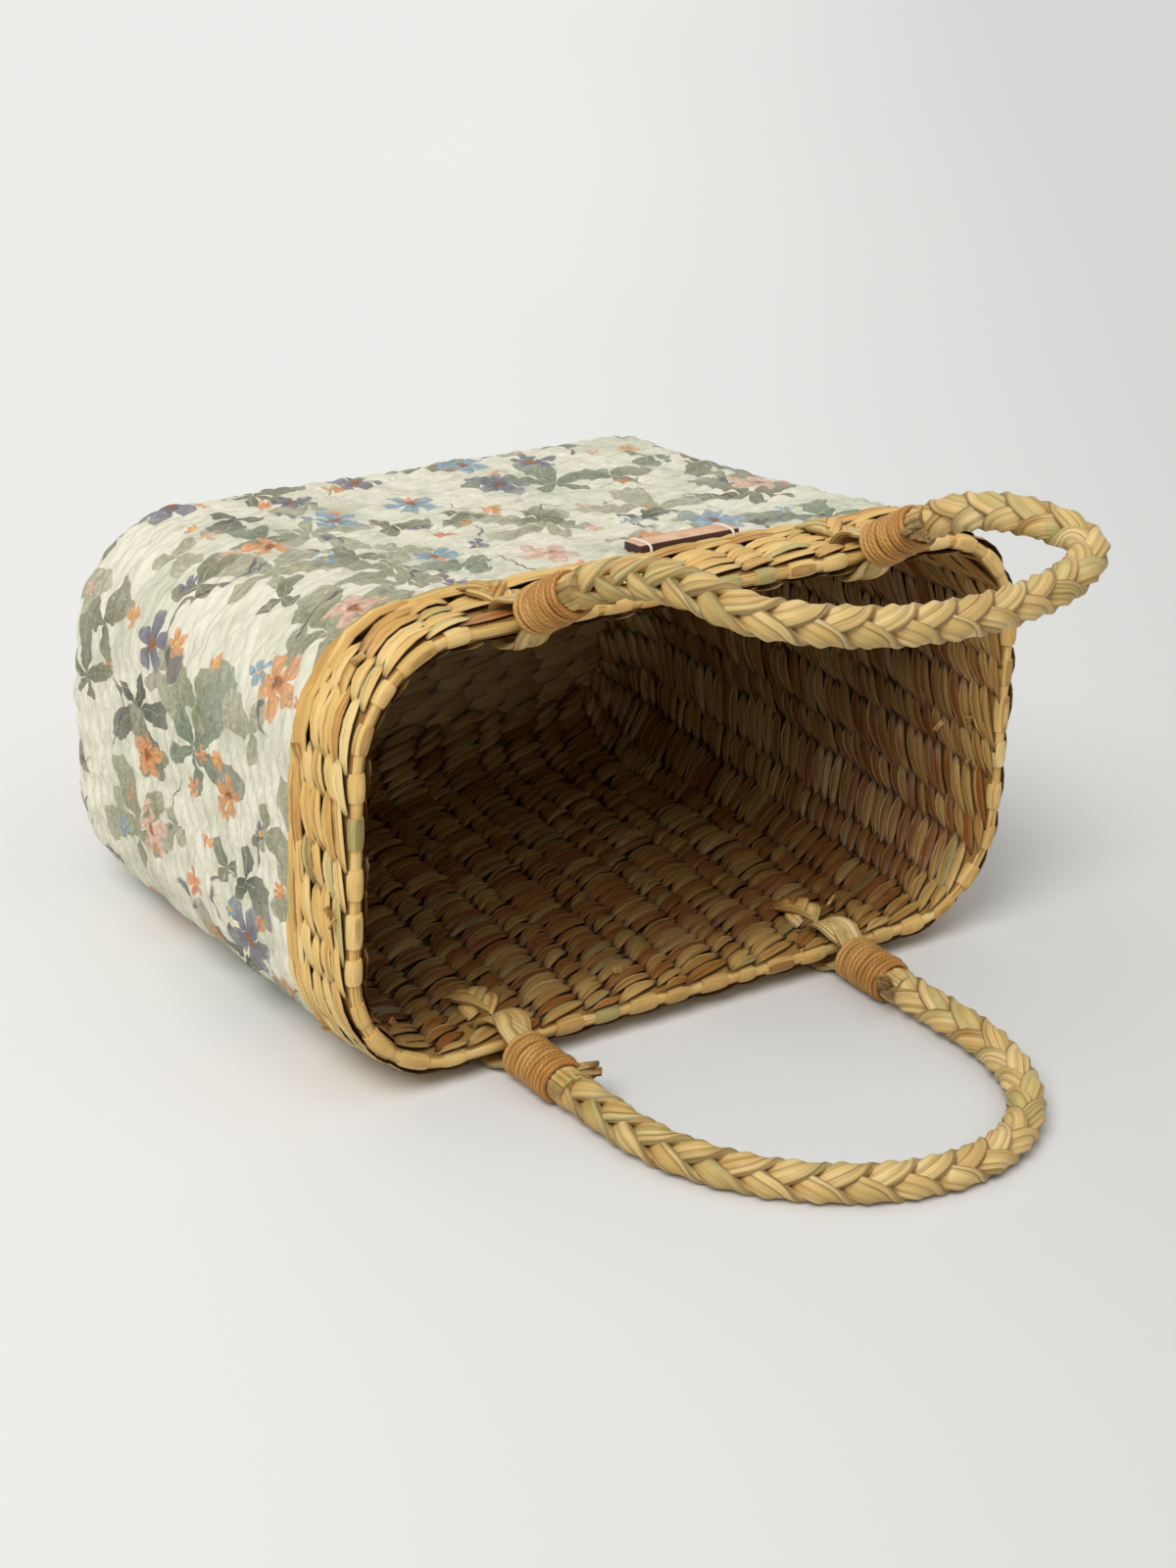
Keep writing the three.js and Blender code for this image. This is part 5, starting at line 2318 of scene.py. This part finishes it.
    def lashing(self, sign: int) -> Sheaf:
        """Wind the twine round a bound end in close turns.

        Args:
            sign: -1 for the left end, 1 for the right.

        Returns:
            The twine.
        """
        rng = draws(Seed.LASHING + 3 * self.side.value + sign)
        turns, past, ease_in = self.places.lashing_turns, self.cord_past, self.cord_ease
        turn = np.linspace(-past, turns + past, self.cord_per_turn * turns)
        ease = np.interp(turn, np.arange(turns + 1), rng.normal(0.0, 1.0, turns + 1))
        radius = self.bound_radius + self.places.cord_radius + self.cord_jitter * ease
        radius = radius + self.cord_wave * np.sin(TAU * turn * 0.37)
        angle = TAU * turn
        out = self.places.lashing_start + turn * self.places.lashing_pitch
        out = out + self.cord_slope * np.sin(angle + 2 * ease)
        ends = np.minimum(smooth(turn, -past, ease_in), 1.0 - smooth(turn, turns - ease_in, turns + past))
        radius = radius - self.cord_sunk * (1.0 - ends)
        across = sign * self.places.spread / 2 + radius * np.cos(angle)
        path = self.at(across, out, radius * self.cord_squash * np.sin(angle))
        start, darker, uneven = self.cord_shade
        tone = np.zeros((len(turn), 4))
        tone[:, 0] = start + darker * np.clip(turn / turns, 0.0, 1.0) + uneven * ease
        sheaf = Sheaf()
        sweep(sheaf, path, self.cord_radius, self.cord_sides, tone)
        return sheaf


# The studio


@dataclass(frozen=True)
class Studio:
    """Pale floor, soft light and the camera at the photograph's angle."""

    focal_pixels: float = 3315.4872
    yaw: float = 0.6922
    pitch: float = 0.4158
    roll: float = 0.0903
    stand: Triple = (-0.813354, -0.942719, 0.636513)
    floor_size: float = 60.0
    floor_colour: Colour = srgb(229, 229, 226)
    floor_cloud: Colour = srgb(226, 226, 224)
    # Painted shade on the floor towards the right of the view.
    painted_floor_shade: Colour = srgb(206, 206, 204)
    cloud: float = 1.3
    cloud_span: Span = (0.2, 0.8)
    painted_floor_shade_span: Span = (-0.2, 0.45)
    floor_roughness: float = 0.9
    floor_sheen: float = 0.1
    backdrop: float = 0.78
    horizon: float = 0.14
    zenith: float = 0.84
    sun_strength: float = 2.05
    sun_angle: float = 34.0
    sun_from: Triple = (-0.75, -0.30, 0.92)

    def build(self) -> None:
        """Make the floor, the light and the camera."""
        self.floor()
        self.lights()
        self.camera()

    def floor(self) -> None:
        """Lay a wide pale floor with a very faint unevenness and painted shade that darkens it towards the right
        of the view.
        """
        deselect()
        bpy.ops.mesh.primitive_plane_add(size=self.floor_size)
        floor = bpy.context.object
        floor.name = "floor"
        bpy.ops.object.transform_apply(location=True, rotation=True, scale=True)
        sheet = NodeSheet("floor_paper")
        cloud = sheet.step(sheet.noise(sheet.place(), self.cloud, 2.0), *self.cloud_span)
        tint = sheet.mix(cloud, self.floor_colour, self.floor_cloud)
        # Painted shade: the floor darkens towards the camera's right.
        east, north, _ = sheet.split(sheet.place())
        east = sheet.times(east, math.cos(self.yaw))
        painted_shade_across = sheet.math("ADD", east, sheet.times(north, -math.sin(self.yaw)))
        tint = sheet.mix(sheet.step(painted_shade_across, *self.painted_floor_shade_span), tint, self.painted_floor_shade)
        sheet.surface(tint, self.floor_roughness, self.floor_sheen)
        floor.data.materials.append(sheet.material)

    def lights(self) -> None:
        """Set a room that is brighter overhead and one broad soft light from the upper left."""
        room = NodeSheet("room", world=True)
        _, _, up = room.split(room.node("ShaderNodeTexCoord").outputs["Generated"])
        level = room.node("ShaderNodeMapRange")
        level.inputs["To Min"].default_value = self.horizon
        level.inputs["To Max"].default_value = self.zenith
        room.feed(up, level.inputs["Value"])
        rays = room.node("ShaderNodeLightPath").outputs
        seen = room.math("MAXIMUM", rays["Is Camera Ray"], rays["Is Glossy Ray"])
        seen = room.math("MAXIMUM", seen, rays["Is Transmission Ray"])
        strength = room.node("ShaderNodeMix")
        room.feed(seen, strength.inputs["Factor"])
        room.feed(level.outputs["Result"], strength.inputs["A"])
        room.feed(self.backdrop, strength.inputs["B"])
        room.feed(strength.outputs["Result"], room.shader.inputs["Strength"])
        room.feed(WHITE, room.shader.inputs["Color"])
        bpy.context.scene.world = room.material
        lamp = bpy.data.lights.new("key", "SUN")
        lamp.energy = self.sun_strength
        lamp.angle = math.radians(self.sun_angle)
        holder = bpy.data.objects.new("key", lamp)
        holder.rotation_euler = (-Vector(self.sun_from)).to_track_quat("-Z", "Y").to_euler()
        bpy.context.collection.objects.link(holder)

    def camera(self) -> None:
        """Set the camera that the photograph's outline was fitted with."""
        lens = bpy.data.cameras.new("photo_camera")
        lens.sensor_width = SENSOR
        lens.lens = self.focal_pixels / PHOTO_HEIGHT * SENSOR
        lens.clip_start = 0.05
        lens.clip_end = 50.0
        level, down = math.cos(self.pitch), -math.sin(self.pitch)
        ahead = Vector((math.sin(self.yaw) * level, math.cos(self.yaw) * level, down))
        right = Vector((math.cos(self.yaw), -math.sin(self.yaw), 0.0))
        up = right.cross(ahead)
        tilted = right * math.cos(self.roll) + up * math.sin(self.roll)
        upright = up * math.cos(self.roll) - right * math.sin(self.roll)
        turn = Matrix((tilted, upright, -ahead)).transposed().to_4x4()
        camera = bpy.data.objects.new("photo_camera", lens)
        camera.matrix_world = Matrix.Translation(self.stand) @ turn
        bpy.context.collection.objects.link(camera)
        bpy.context.scene.camera = camera


def main() -> None:
    """Build the studio, the basket, its cover and tag, and the two handles."""
    logging.basicConfig(level=logging.INFO, format="%(name)s: %(message)s")
    deselect()
    bpy.context.scene.view_settings.view_transform = "Standard"
    Studio().build()
    axes = StandingFrame(frame["record"])
    wall = WallShape()
    places = HandlePlaces()
    reed = WOVEN_REED.make()
    plaited = PLAITED_REED.make()
    twine = TwineFinish().make()
    Basket(wall, places, axes, reed).build()
    PrintedCover(wall, axes, PRINT.make()).build()
    LeatherTag(wall, axes, LeatherFinish().make(), ThreadFinish().make()).build()
    tilt = math.atan2(axes.axes[2][2], -axes.axes[2][1])
    drop = math.asin((places.eye_outer - PLAIT_RADIUS) / LOWER_REACH)
    lower = PlaitedHandle(
        Side.LOWER, places, axes, plaited, twine, out_angle=tilt + drop, reach=LOWER_REACH, leg=0.078,
        lean=0.012, curl=0.0, rolls=LOWER_ROLLS,
    )
    upper = PlaitedHandle(
        Side.UPPER, places, axes, plaited, twine, out_angle=math.radians(UPPER_RAISED) - tilt, reach=0.158,
        leg=0.123, lean=0.010, curl=math.radians(UPPER_CURL), rolls=UPPER_ROLLS,
    )
    lower.build()
    upper.build()


if __name__ == "__main__":
    main()
